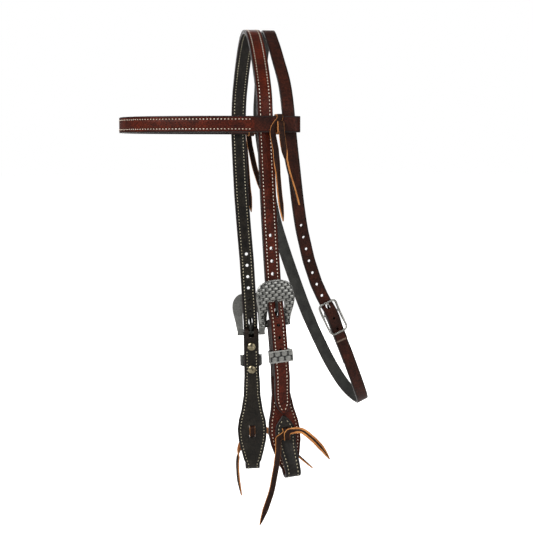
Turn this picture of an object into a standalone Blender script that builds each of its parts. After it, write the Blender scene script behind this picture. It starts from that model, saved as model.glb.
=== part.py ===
"""Horse bridle headstall with browband, throatlatch and two buckled cheek pieces.

Metres, +Z up, -Y to the front of the horse's head, +X to the near (left) side.
The origin is the underside of the crown strap at the poll.
"""

import math

import bmesh
import bpy
import numpy as np
from mathutils import Vector

MM = 0.001

# Leather
STRAP_WIDTH = 15.9 * MM
LEATHER = 2.0 * MM
PLY_GAP = 0.3 * MM
CHEEK_LEATHER = 1.35 * MM
EDGE_BEVEL = 0.5 * MM
CROWN_THICKNESS = 2 * LEATHER + PLY_GAP
CHEEK_THICKNESS = 2 * CHEEK_LEATHER + PLY_GAP

# Crown strap
HEAD_HALF_WIDTH = 86.0 * MM
ARCH_DROP = 90.0 * MM
LEG_YAW = math.radians(6.0)
NEAR_BAR_DROP = 295.3 * MM
OFF_BAR_DROP = 327.3 * MM
NEAR_LEG_SWEEP = 28.3 * MM
OFF_LEG_SWEEP = 15.8 * MM
BILLET_PAST_FOLD = 39.0 * MM
BILLET_POINT = 15.0 * MM
HOLE_PITCH = 12.7 * MM
HOLE_RADIUS = 1.7 * MM
WORN_HOLE_RADIUS = 2.2 * MM
HOLE_COUNT = 10
HOLE_IN_USE = 7
TONGUE_HOLE_RISE = 12.1 * MM
WORN_HOLE_STRETCH = 5.4 * MM

# Cheek pieces, measured down from the buckle bar
CHEEK_TOP_WIDTH = 16.7 * MM
CHEEK_FULL_WIDTH = 33.0 * MM
CHEEK_FOLD_WIDTH = 16.0 * MM
BIT_FOLD_DROP = 156.0 * MM
BIT_FOLD_RADIUS = 4.5 * MM
FOLD_OUT_PAST_SCREW = 10.8 * MM
TAB_FULL_WIDTH = 21.0 * MM
TAB_TIP_DROP = 93.5 * MM
TAB_TIP_WIDTH = 3.0 * MM
UPPER_LACE_DROP = 106.5 * MM
LOWER_LACE_DROP = 117.3 * MM
LACE_SLOT_WIDTH = 7.0 * MM
LACE_SLOT_HEIGHT = 2.6 * MM

# Cart buckles
BAR_RADIUS = 1.3 * MM
BAR_PLAY = 0.4 * MM
FRAME_WIDTH = 39.4 * MM
FRAME_RISE = 44.5 * MM
FRAME_FOOT = 2.6 * MM
LUG_WIDTH_SHARE = 0.79
PIN_LENGTH_SHARE = 0.76
WINDOW_WIDTH = 17.3 * MM
WINDOW_RISE = 22.8 * MM
FRAME_THICKNESS = 3.6 * MM
LUG_THICKNESS = 5.2 * MM
FRAME_LIFT = 6.6 * MM
TONGUE_WIDTH = 3.0 * MM
TONGUE_THICKNESS = 1.8 * MM
TONGUE_SLOT_WIDTH = 6.0 * MM
TONGUE_TIP_RISE = 23.8 * MM

# Keepers and Chicago screws
KEEPER_DROP = 32.0 * MM
KEEPER_HEIGHT = 12.0 * MM
KEEPER_WIDTH = 25.2 * MM
KEEPER_PLATE = 1.2 * MM
UPPER_SCREW_DROP = 15.3 * MM
LOWER_SCREW_DROP = 41.2 * MM
FOLD_OUT_LENGTH = LOWER_SCREW_DROP + FOLD_OUT_PAST_SCREW
BILLET_TAIL = FOLD_OUT_LENGTH + BILLET_PAST_FOLD
POST_RADIUS = 2.5 * MM
DOME_RADIUS = 4.8 * MM
DOME_HEIGHT = 2.2 * MM
CAP_RADIUS = 3.6 * MM
CAP_HEIGHT = 0.8 * MM
SHANK_RADIUS = 1.3 * MM

# Browband
BAND_DROP = 98.5 * MM
BAND_HALF_WIDTH = 91.5 * MM
BAND_REACH = 136.0 * MM
BAND_ROUNDNESS = 2.25
BAND_LOOP_REACH = 35.4 * MM
BAND_LINING_END = 12.0 * MM
BAND_RETURN_END = 11.0 * MM
BAND_LOOP_GAP = 9.4 * MM

# Throatlatch
THROAT_WIDTH = 12.7 * MM
THROAT_LEATHER = 2.2 * MM
THROAT_HOLE_RADIUS = 1.35 * MM
THROAT_WORN_RADIUS = 2.0 * MM
THROAT_HOLES_ABOVE = 7
THROAT_HOLES_BELOW = 2
THROAT_WIRE_RADIUS = 1.1 * MM
THROAT_FRAME_LENGTH = 35.5 * MM
THROAT_FRAME_WIDTH = 20.5 * MM
THROAT_FRAME_CORNER = 4.0 * MM
THROAT_BAR_SHARE = 0.38
THROAT_BAR_LIFT = 4.0 * MM
THROAT_HOLE_RISE = 8.2 * MM
THROAT_TONGUE_WIDTH = 2.4 * MM
THROAT_BILLET_PAST_BAR = 31.0 * MM
THROAT_FOLD_LENGTH = 58.0 * MM
THROAT_DEPTH = 391.0 * MM
THROAT_REACH = 120.2 * MM

# Laces
LACE_WIDTH = 6.0 * MM
LACE_THICKNESS = 1.6 * MM
LACE_TAIL = 80.0 * MM
TIE_SET_BACK = 13.7 * MM
TIE_TAIL = 90.0 * MM

# Fits
CLEARANCE = 0.3 * MM
LOOSE = 0.9 * MM

# Crown arch from the poll to the top of a leg, in shares of half width and arch drop
ARCH_SHARES = (
    (0.0, 0.0), (0.221, 0.039), (0.419, 0.156), (0.616, 0.333), (0.802, 0.55), (0.942, 0.767),
    (1.0, 1.0))
# Backward sweep of each leg, in shares of the bar drop and of the whole sweep
NEAR_SWEEP_SHARES = (
    (0.305, 0.0), (0.369, 0.039), (0.616, 0.155), (0.83, 0.279), (0.958, 0.396), (1.043, 0.481),
    (1.084, 0.519), (1.22, 0.63), (1.361, 0.756), (1.524, 1.0))
OFF_SWEEP_SHARES = (
    (0.275, 0.0), (0.327, 0.01), (0.581, 0.272), (0.718, 0.551), (0.849, 0.709), (0.959, 0.861),
    (0.996, 0.885), (1.167, 0.943), (1.332, 0.955), (1.473, 1.0))
# Half-width of the cheek below the buckle bar, in shares of the fold drop and of the swelling
CHEEK_SWELL_SHARES = (
    (0.0, 0.0), (0.288, 0.0), (0.359, 0.086), (0.455, 0.147), (0.558, 0.46), (0.635, 0.834),
    (0.705, 1.0), (0.779, 0.883), (0.853, 0.558), (0.927, 0.184), (0.965, 0.04), (1.0, -0.043))
# Half-width of the folded tab from fold to tip, in shares of its length and of its full width
TAB_WIDTH_SHARES = (
    (0.0, 0.762), (0.2, 0.79), (0.42, 0.88), (0.6, 0.98), (0.72, 1.0), (0.81, 0.9), (0.88, 0.66),
    (0.94, 0.4), (1.0, 0.143))
# Half-width of a billet point, in shares of its length and of the strap width
POINT_SHARES = ((0.0, 1.0), (0.3, 0.95), (0.55, 0.8), (0.75, 0.6), (0.9, 0.37), (1.0, 0.12))
# Horseshoe frame: window edge and outer edge, in shares of half widths and of rises
FRAME_INNER_SHARES = (
    (1.0, 0.2), (1.0, 0.45), (1.0, 0.66), (1.0, 0.83), (0.95, 0.95), (0.83, 1.0), (0.6, 1.0),
    (0.3, 1.0))
FRAME_OUTER_SHARES = (
    (0.815, 0.1), (0.865, 0.25), (0.92, 0.39), (0.98, 0.52), (1.0, 0.64), (0.94, 0.79),
    (0.73, 0.92), (0.4, 0.982))
# Crown of the frame's outer face, in shares of its breadth and thickness
FRAME_CROWN_SHARES = ((0.0, 0.35), (0.16, 0.8), (0.5, 1.0), (0.84, 0.8), (1.0, 0.35))
# Throatlatch loop from its bar round the jaw, over the poll and back: head half width, reach, depth
THROAT_SHARES = (
    (0.737, 0.598, 0.738), (0.72, 0.67, 0.79), (0.67, 0.755, 0.85), (0.6, 0.81, 0.888),
    (0.465, 0.89, 0.941),
    (0.25, 0.965, 0.985), (0.0, 1.0, 1.0), (-0.25, 0.98, 0.997), (-0.465, 0.93, 0.978),
    (-0.605, 0.831, 0.926),
    (-0.698, 0.725, 0.857), (-0.733, 0.596, 0.765), (-0.744, 0.515, 0.698), (-0.767, 0.412, 0.606),
    (-0.849, 0.333, 0.519), (-0.94, 0.255, 0.37), (-0.985, 0.206, 0.26), (-0.98, 0.193, 0.215),
    (-0.84, 0.185, 0.153), (-0.58, 0.165, 0.087), (-0.3, 0.154, 0.035), (0.0, 0.151, 0.003),
    (0.3, 0.154, 0.035),
    (0.58, 0.165, 0.087), (0.84, 0.185, 0.153), (0.98, 0.193, 0.215), (0.985, 0.206, 0.26),
    (0.93, 0.25, 0.36),
    (0.872, 0.3, 0.467), (0.82, 0.335, 0.52), (0.78, 0.37, 0.56), (0.762, 0.4, 0.595), (0.748, 0.445, 0.64),
    (0.744, 0.505, 0.683))
# Lace tails past the knot in shares of a tail: up the strap, back across it, out from the tab
NEAR_FRONT_TAIL_SHARES = (
    (-0.98, -0.468, 0.16), (-0.8, -0.4, 0.17), (-0.58, -0.313, 0.16), (-0.3, -0.22, 0.12),
    (-0.12, -0.15, 0.06))
OFF_FRONT_TAIL_SHARES = (
    (-0.91, -0.15, 0.15), (-0.67, -0.196, 0.15), (-0.43, -0.21, 0.13), (-0.24, -0.184, 0.1),
    (-0.12, -0.15, 0.06))
NEAR_BACK_TAIL_SHARES = ((-0.02, 0.185, 0.09), (-0.16, 0.31, 0.15), (-0.29, 0.4, 0.16), (-0.43, 0.47, 0.16))
OFF_BACK_TAIL_SHARES = ((-0.09, 0.21, 0.09), (-0.3, 0.44, 0.14), (-0.515, 0.68, 0.15), (-0.69, 0.87, 0.15))
# Browband thong tails in shares of a tail: outward, back, down from the band's middle
FRONT_TIE_SHARES = (
    (0.04, 0.03, 1.05), (0.04, -0.01, 0.75), (0.03, -0.03, 0.5), (0.02, -0.05, 0.27),
    (0.004, -0.075, 0.13))
BACK_TIE_SHARES = ((0.05, 0.0, 0.06), (0.055, 0.02, 0.22), (0.045, 0.08, 0.5), (0.04, 0.2, 0.87))


# Values and curves

def material(name, color, metallic, roughness):
    """One shader per physical piece."""
    made = bpy.data.materials.new(name)
    made.use_nodes = True
    shader = made.node_tree.nodes["Principled BSDF"]
    shader.inputs["Base Color"].default_value = (*color, 1.0)
    shader.inputs["Metallic"].default_value = metallic
    shader.inputs["Roughness"].default_value = roughness
    made.diffuse_color = (*color, 1.0)
    return made


def unit(vector):
    vector = np.asarray(vector, dtype=float)
    return vector / np.linalg.norm(vector)


def spline(points, at):
    """Smooth curve through points; at holds parameters from 0 to 1 by chord length."""
    points = np.asarray(points, dtype=float)
    steps = np.linalg.norm(np.diff(points, axis=0), axis=1)
    knots = np.concatenate([[0.0], np.cumsum(steps)]) / steps.sum()
    slopes = np.gradient(points, knots, axis=0)
    at = np.clip(np.asarray(at, dtype=float), 0.0, 1.0)
    index = np.clip(np.searchsorted(knots, at, side="right") - 1, 0, len(knots) - 2)
    width = (knots[index + 1] - knots[index])[:, None]
    share = ((at - knots[index]) / width[:, 0])[:, None]
    square, cube = share**2, share**3
    return (
        (2 * cube - 3 * square + 1) * points[index]
        + (cube - 2 * square + share) * width * slopes[index]
        + (3 * square - 2 * cube) * points[index + 1]
        + (cube - square) * width * slopes[index + 1]
    )


def table_value(table, at, scale_in, scale_out):
    """Read a share table at a length."""
    keys = [row[0] * scale_in for row in table]
    values = [row[1] * scale_out for row in table]
    return float(np.interp(at, keys, values))


def drop(value):
    """Height of a point measured down from the top of the crown strap."""
    return CROWN_THICKNESS - value


# Mesh builders

def add_object(name, vertices, faces, shader, origin=(0.0, 0.0, 0.0)):
    """Closed body with its own material and its origin on its joint axis."""
    mesh = bpy.data.meshes.new(name)
    start = Vector(origin)
    mesh.from_pydata([Vector(v) - start for v in vertices], [], faces)
    work = bmesh.new()
    work.from_mesh(mesh)
    bmesh.ops.recalc_face_normals(work, faces=work.faces[:])
    work.to_mesh(mesh)
    work.free()
    mesh.materials.append(shader)
    made = bpy.data.objects.new(name, mesh)
    made.location = start
    bpy.context.scene.collection.objects.link(made)
    return made


def loft(sections, closed=False):
    """Join equal rings of points into one skin, capped at both ends unless closed."""
    count = len(sections[0])
    vertices = [point for ring in sections for point in ring]
    faces = []
    turns = len(sections) if closed else len(sections) - 1
    for i in range(turns):
        here = i * count
        there = ((i + 1) % len(sections)) * count
        for j in range(count):
            k = (j + 1) % count
            faces.append((here + j, here + k, there + k, there + j))
    if not closed:
        faces.append(tuple(reversed(range(count))))
        faces.append(tuple(range(len(vertices) - count, len(vertices))))
    return vertices, faces


def strap_frames(path, across):
    """Tangent, width direction and outward direction at every station of a path."""
    path = np.asarray(path, dtype=float)
    tangents = np.gradient(path, axis=0)
    steps = np.diff(path, axis=0)
    steps /= np.linalg.norm(steps, axis=1)[:, None]
    tangents[1:-1] = steps[1:] + steps[:-1]
    tangents[0] = steps[0]
    tangents[-1] = steps[-1]
    tangents /= np.linalg.norm(tangents, axis=1)[:, None]
    across = np.asarray(across, dtype=float)
    across = across - (across * tangents).sum(axis=1)[:, None] * tangents
    across /= np.linalg.norm(across, axis=1)[:, None]
    outward = np.cross(tangents, across)
    bends = np.ones(len(path))
    bends[1:-1] = np.sqrt(2.0 / (1.0 + (steps[1:] * steps[:-1]).sum(axis=1)))
    return tangents, across, outward, bends


def strap(
        name, path, across, half_widths, inner, outer, shader, bevel_outer=True, bevel=EDGE_BEVEL,
        origin=(0, 0, 0)):
    """Flat leather layer swept along a path, with its beveled edges on one side."""
    path = np.asarray(path, dtype=float)
    _, across, outward, bends = strap_frames(path, across)
    sections = []
    for point, side, out, half, bend in zip(path, across, outward, half_widths, bends):
        cut = min(bevel, half * 0.6, (outer - inner) * 0.45)
        base, top = (inner * bend, outer * bend) if bevel_outer else (outer * bend, inner * bend)
        lip = top - cut if bevel_outer else top + cut
        if bevel:
            ring = [
                (-half, base), (half, base), (half, lip), (half - cut, top), (cut - half, top),
                (-half, lip)]
        else:
            ring = [(-half, base), (half, base), (half, top), (-half, top)]
        sections.append([tuple(point + side * a + out * n) for a, n in ring])
    vertices, faces = loft(sections)
    return add_object(name, vertices, faces, shader, origin)


def cylinder_points(start, end, radii, sides, shares=(0.0, 1.0)):
    """Rings of a turned shape between two points; one radius per share."""
    start, end = np.asarray(start, float), np.asarray(end, float)
    axis = unit(end - start)
    helper = np.array([0.0, 0.0, 1.0]) if abs(axis[2]) < 0.8 else np.array([1.0, 0.0, 0.0])
    first = unit(np.cross(axis, helper))
    second = np.cross(axis, first)
    rings = []
    for share, radius in zip(shares, radii):
        centre = start + (end - start) * share
        angles = [2 * math.pi * (i + 0.5) / sides for i in range(sides)]
        rings.append([tuple(centre + radius * (math.cos(a) * first + math.sin(a) * second)) for a in angles])
    return rings


def combine(target, vertices, faces, operation):
    """Subtract a closed shape from an object, or join it to the object."""
    tool_mesh = bpy.data.meshes.new("cutter")
    tool_mesh.from_pydata([Vector(v) for v in vertices], [], faces)
    work = bmesh.new()
    work.from_mesh(tool_mesh)
    bmesh.ops.recalc_face_normals(work, faces=work.faces[:])
    work.to_mesh(tool_mesh)
    work.free()
    tool = bpy.data.objects.new("cutter", tool_mesh)
    tool.hide_render = True
    tool.display_type = "WIRE"
    bpy.context.scene.collection.objects.link(tool)
    bpy.context.view_layer.update()
    change = target.modifiers.new("change", "BOOLEAN")
    change.operation = operation
    change.solver = "EXACT"
    change.object = tool
    view = bpy.context.evaluated_depsgraph_get()
    result = bpy.data.meshes.new_from_object(target.evaluated_get(view), depsgraph=view)
    target.modifiers.clear()
    old = target.data
    target.data = result
    result.name = target.name
    bpy.data.meshes.remove(old)
    bpy.data.objects.remove(tool)
    bpy.data.meshes.remove(tool_mesh)


def cut(target, vertices, faces):
    combine(target, vertices, faces, "DIFFERENCE")


def cut_round(target, start, end, radius, sides=8):
    cut(target, *loft(cylinder_points(start, end, (radius, radius), sides)))


def cut_oval(target, centre, along, across, through, half_length, radius, sides=8):
    """Slot with round ends, drilled in the through direction."""
    rings = []
    for level in (-through, through):
        ring = []
        for i in range(sides + 2):
            turn = math.pi * i / (sides / 2) if i <= sides / 2 else math.pi * (i - 1) / (sides / 2)
            shift = half_length if i <= sides / 2 else -half_length
            turn -= math.pi / 2
            middle = centre + along * shift + level
            ring.append(tuple(middle + radius * (along * math.cos(turn) + across * math.sin(turn))))
        rings.append(ring)
    cut(target, *loft(rings))


def cut_box(target, centre, axes, halves):
    """Rectangular slot; axes and half sizes in the same order."""
    a, b, c = (axis * half for axis, half in zip(axes, halves))
    corners = ((-1, -1), (1, -1), (1, 1), (-1, 1))
    rings = [[tuple(centre + level * c + i * a + j * b) for i, j in corners] for level in (-1, 1)]
    cut(target, *loft(rings))


# One leg of the bridle with its buckle bar as local origin

class Leg:
    """Local directions of one side: up along the strap, back across it, out from the head."""

    def __init__(self, side, bar_drop, sweep, sweep_shares):
        self.side = side
        self.label = "near" if side > 0 else "off"
        self.bar_drop = bar_drop
        self.keys = [row[0] * bar_drop for row in sweep_shares]
        self.sweeps = [row[1] * sweep for row in sweep_shares]
        self.out = np.array([side * math.cos(LEG_YAW), math.sin(LEG_YAW), 0.0])
        low = bar_drop + BIT_FOLD_DROP / 2
        high = bar_drop - FRAME_RISE
        lean = self.sweep_at(low) - self.sweep_at(high)
        self.up = unit([0.0, -lean, low - high])
        self.out = unit(self.out - self.up * self.out.dot(self.up))
        self.back = np.cross(self.up, self.out) * side
        surface = np.array([side * HEAD_HALF_WIDTH, self.sweep_at(bar_drop), drop(bar_drop)])
        self.bar = surface - self.out * (LEG_PLANE + CROWN_THICKNESS)

    def sweep_at(self, value):
        return float(np.interp(value, self.keys, self.sweeps))

    def bend(self, rise):
        """Sideways drift of the strap's centre line from the straight local axis."""
        level = self.bar_drop - rise
        straight = self.sweep_at(self.bar_drop) + (level - self.bar_drop) * (-self.up[1] / self.up[2])
        return self.sweep_at(level) - straight

    def place(self, rise, across, out, bent=True):
        shift = self.bend(rise) if bent else 0.0
        return self.bar + self.up * rise + self.back * (across + shift) + self.out * out


# Lowest face of the crown leg above the buckle, outward from the bar's centre line
LEG_PLANE = 1.0 * MM
FOLD_INNER = BAR_RADIUS + BAR_PLAY
FOLD_MID = FOLD_INNER + CHEEK_THICKNESS / 2
CHEEK_HALF_GAP = KEEPER_PLATE / 2 + CLEARANCE
CHEEK_MID = CHEEK_HALF_GAP + CHEEK_THICKNESS / 2
BILLET_OVER_BAR = FOLD_INNER + CHEEK_THICKNESS + CLEARANCE
BILLET_OVER_FOLD = CHEEK_HALF_GAP + CHEEK_THICKNESS + CLEARANCE
BILLET_ON_CHEEK = -CHEEK_HALF_GAP + CLEARANCE


def billet_out(rise):
    """Inner face of the crown billet over buckle bar, cheek fold and cheek."""
    levels = (
        (-BILLET_TAIL, BILLET_ON_CHEEK),
        (-FOLD_OUT_LENGTH - BILLET_POINT * 1.4, BILLET_ON_CHEEK),
        (-FOLD_OUT_LENGTH - LOOSE, BILLET_OVER_FOLD),
        (-UPPER_SCREW_DROP, BILLET_OVER_FOLD),
        (-BAR_RADIUS * 3, BILLET_OVER_BAR),
        (BAR_RADIUS * 2, BILLET_OVER_BAR),
        (WINDOW_RISE, LEG_PLANE + CLEARANCE * 2),
        (FRAME_RISE * 0.7, LEG_PLANE),
        (FRAME_RISE, LEG_PLANE),
    )
    return float(np.interp(rise, [row[0] for row in levels], [row[1] for row in levels]))


BILLET_STATIONS = (
    -BILLET_TAIL + BILLET_POINT,
    -FOLD_OUT_LENGTH - BILLET_POINT * 1.4,
    -FOLD_OUT_LENGTH - BILLET_POINT * 0.7,
    -FOLD_OUT_LENGTH - LOOSE,
    -KEEPER_DROP,
    -UPPER_SCREW_DROP,
    -BAR_RADIUS * 3,
    BAR_RADIUS * 2,
    TONGUE_HOLE_RISE,
    WINDOW_RISE,
    FRAME_RISE * 0.7,
    FRAME_RISE,
)


def crown_course(near, off):
    """Stations of the crown strap's inner face from the off point to the near point."""
    path, across, halves = [], [], []

    def leg_rows(leg):
        rows = []
        for share, width in reversed(POINT_SHARES):
            rise = -BILLET_TAIL + BILLET_POINT * (1.0 - share)
            rows.append((leg.place(rise, 0.0, billet_out(rise)), leg.back, STRAP_WIDTH / 2 * width))
        for rise in BILLET_STATIONS[1:]:
            rows.append((leg.place(rise, 0.0, billet_out(rise)), leg.back, STRAP_WIDTH / 2))
        top = leg.bar_drop - ARCH_DROP * 1.12
        for share in (0.35, 0.65, 0.85, 1.0):
            rise = FRAME_RISE + (top - FRAME_RISE) * share
            rows.append((leg.place(rise, 0.0, LEG_PLANE), leg.back, STRAP_WIDTH / 2))
        return rows

    arch = []
    for side in (-1.0, 1.0):
        rows = [(side * x * HEAD_HALF_WIDTH, z * ARCH_DROP) for x, z in ARCH_SHARES]
        arch += rows[::-1] if side < 0 else rows[1:]
    arch = [(x, 0.0, drop(z)) for x, z in arch]
    smooth = spline(arch, np.linspace(0.0, 1.0, 27))
    level = np.array([[0.0, 1.0, 0.0]] * len(smooth))
    _, _, outward, _ = strap_frames(smooth, level)
    smooth = smooth - outward * CROWN_THICKNESS
    for row in leg_rows(off):
        path.append(row[0])
        across.append(row[1])
        halves.append(row[2])
    for point in smooth:
        turn = LEG_YAW * max(-1.0, min(1.0, point[0] / HEAD_HALF_WIDTH))
        path.append(point)
        across.append(np.array([-math.sin(turn), math.cos(turn), 0.0]))
        halves.append(STRAP_WIDTH / 2)
    for row in reversed(leg_rows(near)):
        path.append(row[0])
        across.append(row[1])
        halves.append(row[2])
    return np.array(path), np.array(across), halves


def crown(near, off):
    """Outer leather and lining, punched on both sides."""
    path, across, halves = crown_course(near, off)
    leather = material("crown_leather", (0.11, 0.024, 0.014), 0.0, 0.45)
    lining = material("crown_lining_leather", (0.02, 0.022, 0.02), 0.0, 0.6)
    top = strap("crown_strap", path, across, halves, LEATHER + PLY_GAP, CROWN_THICKNESS, leather)
    under = strap("crown_lining", path, across, halves, 0.0, LEATHER, lining, bevel_outer=False)
    for leg in (near, off):
        for index in range(HOLE_COUNT):
            rise = TONGUE_HOLE_RISE + (HOLE_IN_USE - 1 - index) * HOLE_PITCH
            centre = leg.place(rise, 0.0, billet_out(rise) + CROWN_THICKNESS / 2)
            through = leg.out * CROWN_THICKNESS
            for piece in (top, under):
                if index == HOLE_IN_USE - 1:
                    stretch = WORN_HOLE_STRETCH / 2
                    cut_oval(piece, centre, leg.up, leg.back, through, stretch, WORN_HOLE_RADIUS)
                else:
                    cut_round(piece, centre - through, centre + through, HOLE_RADIUS)


def cheek_half_width(below):
    swell = (CHEEK_FULL_WIDTH - CHEEK_TOP_WIDTH) / 2
    return CHEEK_TOP_WIDTH / 2 + table_value(CHEEK_SWELL_SHARES, below, BIT_FOLD_DROP, swell)


def tab_half_width(above_fold):
    length = BIT_FOLD_DROP - TAB_TIP_DROP
    return table_value(TAB_WIDTH_SHARES, above_fold, length, TAB_FULL_WIDTH / 2)


def tab_out(below):
    """Middle of the folded tab outward from the bar's centre line."""
    rest = -CHEEK_HALF_GAP + CLEARANCE + CHEEK_THICKNESS / 2
    fold = -CHEEK_HALF_GAP + 2 * BIT_FOLD_RADIUS + CHEEK_THICKNESS / 2
    reach = (BIT_FOLD_DROP - BIT_FOLD_RADIUS - CHEEK_THICKNESS - below) / (BIT_FOLD_DROP - LOWER_LACE_DROP)
    share = min(1.0, max(0.0, reach * 1.35))
    return fold + (rest - fold) * share * share * (3 - 2 * share)


def cheek_course(leg):
    """Middle line of the folded cheek from its end under the billet to the tip of the tab."""
    path, halves = [], []
    top_half = CHEEK_TOP_WIDTH / 2
    past_screw = LOWER_SCREW_DROP + FOLD_OUT_PAST_SCREW * 0.46
    for below in (FOLD_OUT_LENGTH, past_screw, KEEPER_DROP, UPPER_SCREW_DROP, POST_RADIUS * 2.4):
        path.append(leg.place(-below, 0.0, CHEEK_MID))
        halves.append(top_half)
    for step in range(9):
        turn = math.pi * step / 8
        path.append(leg.place(math.sin(turn) * FOLD_MID, 0.0, math.cos(turn) * FOLD_MID))
        halves.append(top_half)
    for below in (POST_RADIUS * 2.4, UPPER_SCREW_DROP, KEEPER_DROP):
        path.append(leg.place(-below, 0.0, -CHEEK_MID))
        halves.append(top_half)
    fold_centre = BIT_FOLD_DROP - BIT_FOLD_RADIUS - CHEEK_THICKNESS
    for share, _ in CHEEK_SWELL_SHARES[1:-1]:
        below = share * BIT_FOLD_DROP
        if below < fold_centre:
            path.append(leg.place(-below, 0.0, -CHEEK_MID))
            halves.append(cheek_half_width(below))
    radius = BIT_FOLD_RADIUS + CHEEK_THICKNESS / 2
    middle = -CHEEK_HALF_GAP + BIT_FOLD_RADIUS
    for step in range(9):
        turn = math.pi * step / 8
        below = fold_centre + math.sin(turn) * radius
        path.append(leg.place(-below, 0.0, middle - math.cos(turn) * radius))
        halves.append(CHEEK_FOLD_WIDTH / 2)
    length = fold_centre - TAB_TIP_DROP
    for share in (0.12, 0.24, 0.36, 0.48, 0.6, 0.7, 0.79, 0.87, 0.94, 1.0):
        below = fold_centre - share * length
        path.append(leg.place(-below, 0.0, tab_out(below)))
        halves.append(tab_half_width(share * (BIT_FOLD_DROP - TAB_TIP_DROP)))
    return path, halves


def cheek(leg):
    """Outer leather and lining of one cheek piece, with slots for tongue, screws and lace."""
    path, halves = cheek_course(leg)
    across = np.array([leg.back] * len(path))
    leather = material(f"{leg.label}_cheek_leather", (0.11, 0.024, 0.014), 0.0, 0.45)
    lining = material(f"{leg.label}_cheek_lining_leather", (0.02, 0.022, 0.02), 0.0, 0.6)
    near_ply = (PLY_GAP / 2, PLY_GAP / 2 + CHEEK_LEATHER)
    far_ply = (-PLY_GAP / 2 - CHEEK_LEATHER, -PLY_GAP / 2)
    if leg.side < 0:
        near_ply, far_ply = far_ply, near_ply
    outward = leg.side > 0
    grain = strap(f"{leg.label}_cheek", path, across, halves, *near_ply, leather, bevel_outer=outward)
    name = f"{leg.label}_cheek_lining"
    back = strap(name, path, across, halves, *far_ply, lining, bevel_outer=not outward)
    reach = CHEEK_HALF_GAP + CHEEK_THICKNESS + CLEARANCE
    for piece in (grain, back):
        centre = leg.place(BAR_RADIUS, 0.0, 0.0, bent=False)
        halves_cut = (TONGUE_SLOT_WIDTH / 2, BILLET_OVER_BAR + BAR_RADIUS, BILLET_OVER_BAR)
        cut_box(piece, centre, (leg.back, leg.up, leg.out), halves_cut)
        for below in (UPPER_SCREW_DROP, LOWER_SCREW_DROP):
            start = leg.place(-below, 0.0, -reach)
            cut_round(piece, start, start + leg.out * 2 * reach, POST_RADIUS + CLEARANCE, 12)
        for below in (UPPER_LACE_DROP, LOWER_LACE_DROP):
            centre = leg.place(-below, 0.0, 0.0)
            slot = (LACE_SLOT_WIDTH / 2, LACE_SLOT_HEIGHT / 2, reach * 2)
            cut_box(piece, centre, (leg.back, leg.up, leg.out), slot)
    for below in (UPPER_SCREW_DROP, LOWER_SCREW_DROP):
        start = leg.place(-below, 0.0, CHEEK_MID)
        cut_round(back, start, start + leg.out * CHEEK_THICKNESS, CAP_RADIUS + CLEARANCE, 12)


def cart_frame(leg):
    """Horseshoe buckle frame lofted from window edge to outer edge, drilled for its bar."""
    shader = material(f"{leg.label}_buckle_metal", (0.3, 0.3, 0.29), 1.0, 0.35)
    half_window, half_frame = WINDOW_WIDTH / 2, FRAME_WIDTH / 2
    pairs = []
    lug_outer = half_frame * LUG_WIDTH_SHARE
    for rise in (-FRAME_FOOT, -FRAME_FOOT * 0.4, FRAME_FOOT, FRAME_FOOT * 1.6):
        pairs.append(((half_window, rise), (lug_outer, rise)))
    for inner, outer in zip(FRAME_INNER_SHARES, FRAME_OUTER_SHARES):
        window_edge = (half_window * inner[0], WINDOW_RISE * inner[1])
        outer_edge = (half_frame * outer[0], FRAME_RISE * outer[1])
        pairs.append((window_edge, outer_edge))
    middle = ((0.0, WINDOW_RISE), (0.0, FRAME_RISE))
    mirrored = [((-a[0], a[1]), (-b[0], b[1])) for a, b in reversed(pairs)]

    def base_out(rise):
        share = min(1.0, max(0.0, (rise - FRAME_FOOT) / (WINDOW_RISE * 0.9 - FRAME_FOOT)))
        lift = FRAME_LIFT + LUG_THICKNESS / 2
        return -LUG_THICKNESS / 2 + lift * share * share * (3 - 2 * share)

    sections = []
    for inner, outer in pairs + [middle] + mirrored:
        ring = []
        lug = min(1.0, max(0.0, (inner[1] - FRAME_FOOT) / FRAME_FOOT))
        thick = LUG_THICKNESS + (FRAME_THICKNESS - LUG_THICKNESS) * lug
        for share, crown_share in FRAME_CROWN_SHARES:
            across = inner[0] + (outer[0] - inner[0]) * share
            rise = inner[1] + (outer[1] - inner[1]) * share
            ring.append(tuple(leg.place(rise, across, base_out(rise) + thick * crown_share, bent=False)))
        for edge in (outer, inner):
            ring.append(tuple(leg.place(edge[1], edge[0], base_out(edge[1]), bent=False)))
        sections.append(ring)
    frame = add_object(f"{leg.label}_buckle_frame", *loft(sections), shader, leg.bar)
    reach = leg.back * FRAME_WIDTH
    cut_round(frame, leg.bar - reach, leg.bar + reach, BAR_RADIUS + CLEARANCE, 12)
    return frame


def bar_pin(leg):
    """Pin through both lugs of the cart buckle."""
    shader = material(f"{leg.label}_pin_metal", (0.3, 0.3, 0.29), 1.0, 0.35)
    reach = leg.back * (FRAME_WIDTH / 2 * PIN_LENGTH_SHARE)
    rings = cylinder_points(leg.bar - reach, leg.bar + reach, (BAR_RADIUS, BAR_RADIUS), 12)
    pin = add_object(f"{leg.label}_buckle_bar", *loft(rings), shader, leg.bar)
    round_shading(pin)


def round_shading(target):
    for face in target.data.polygons:
        face.use_smooth = True
    target.data.set_sharp_from_angle(angle=math.radians(40.0))


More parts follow.
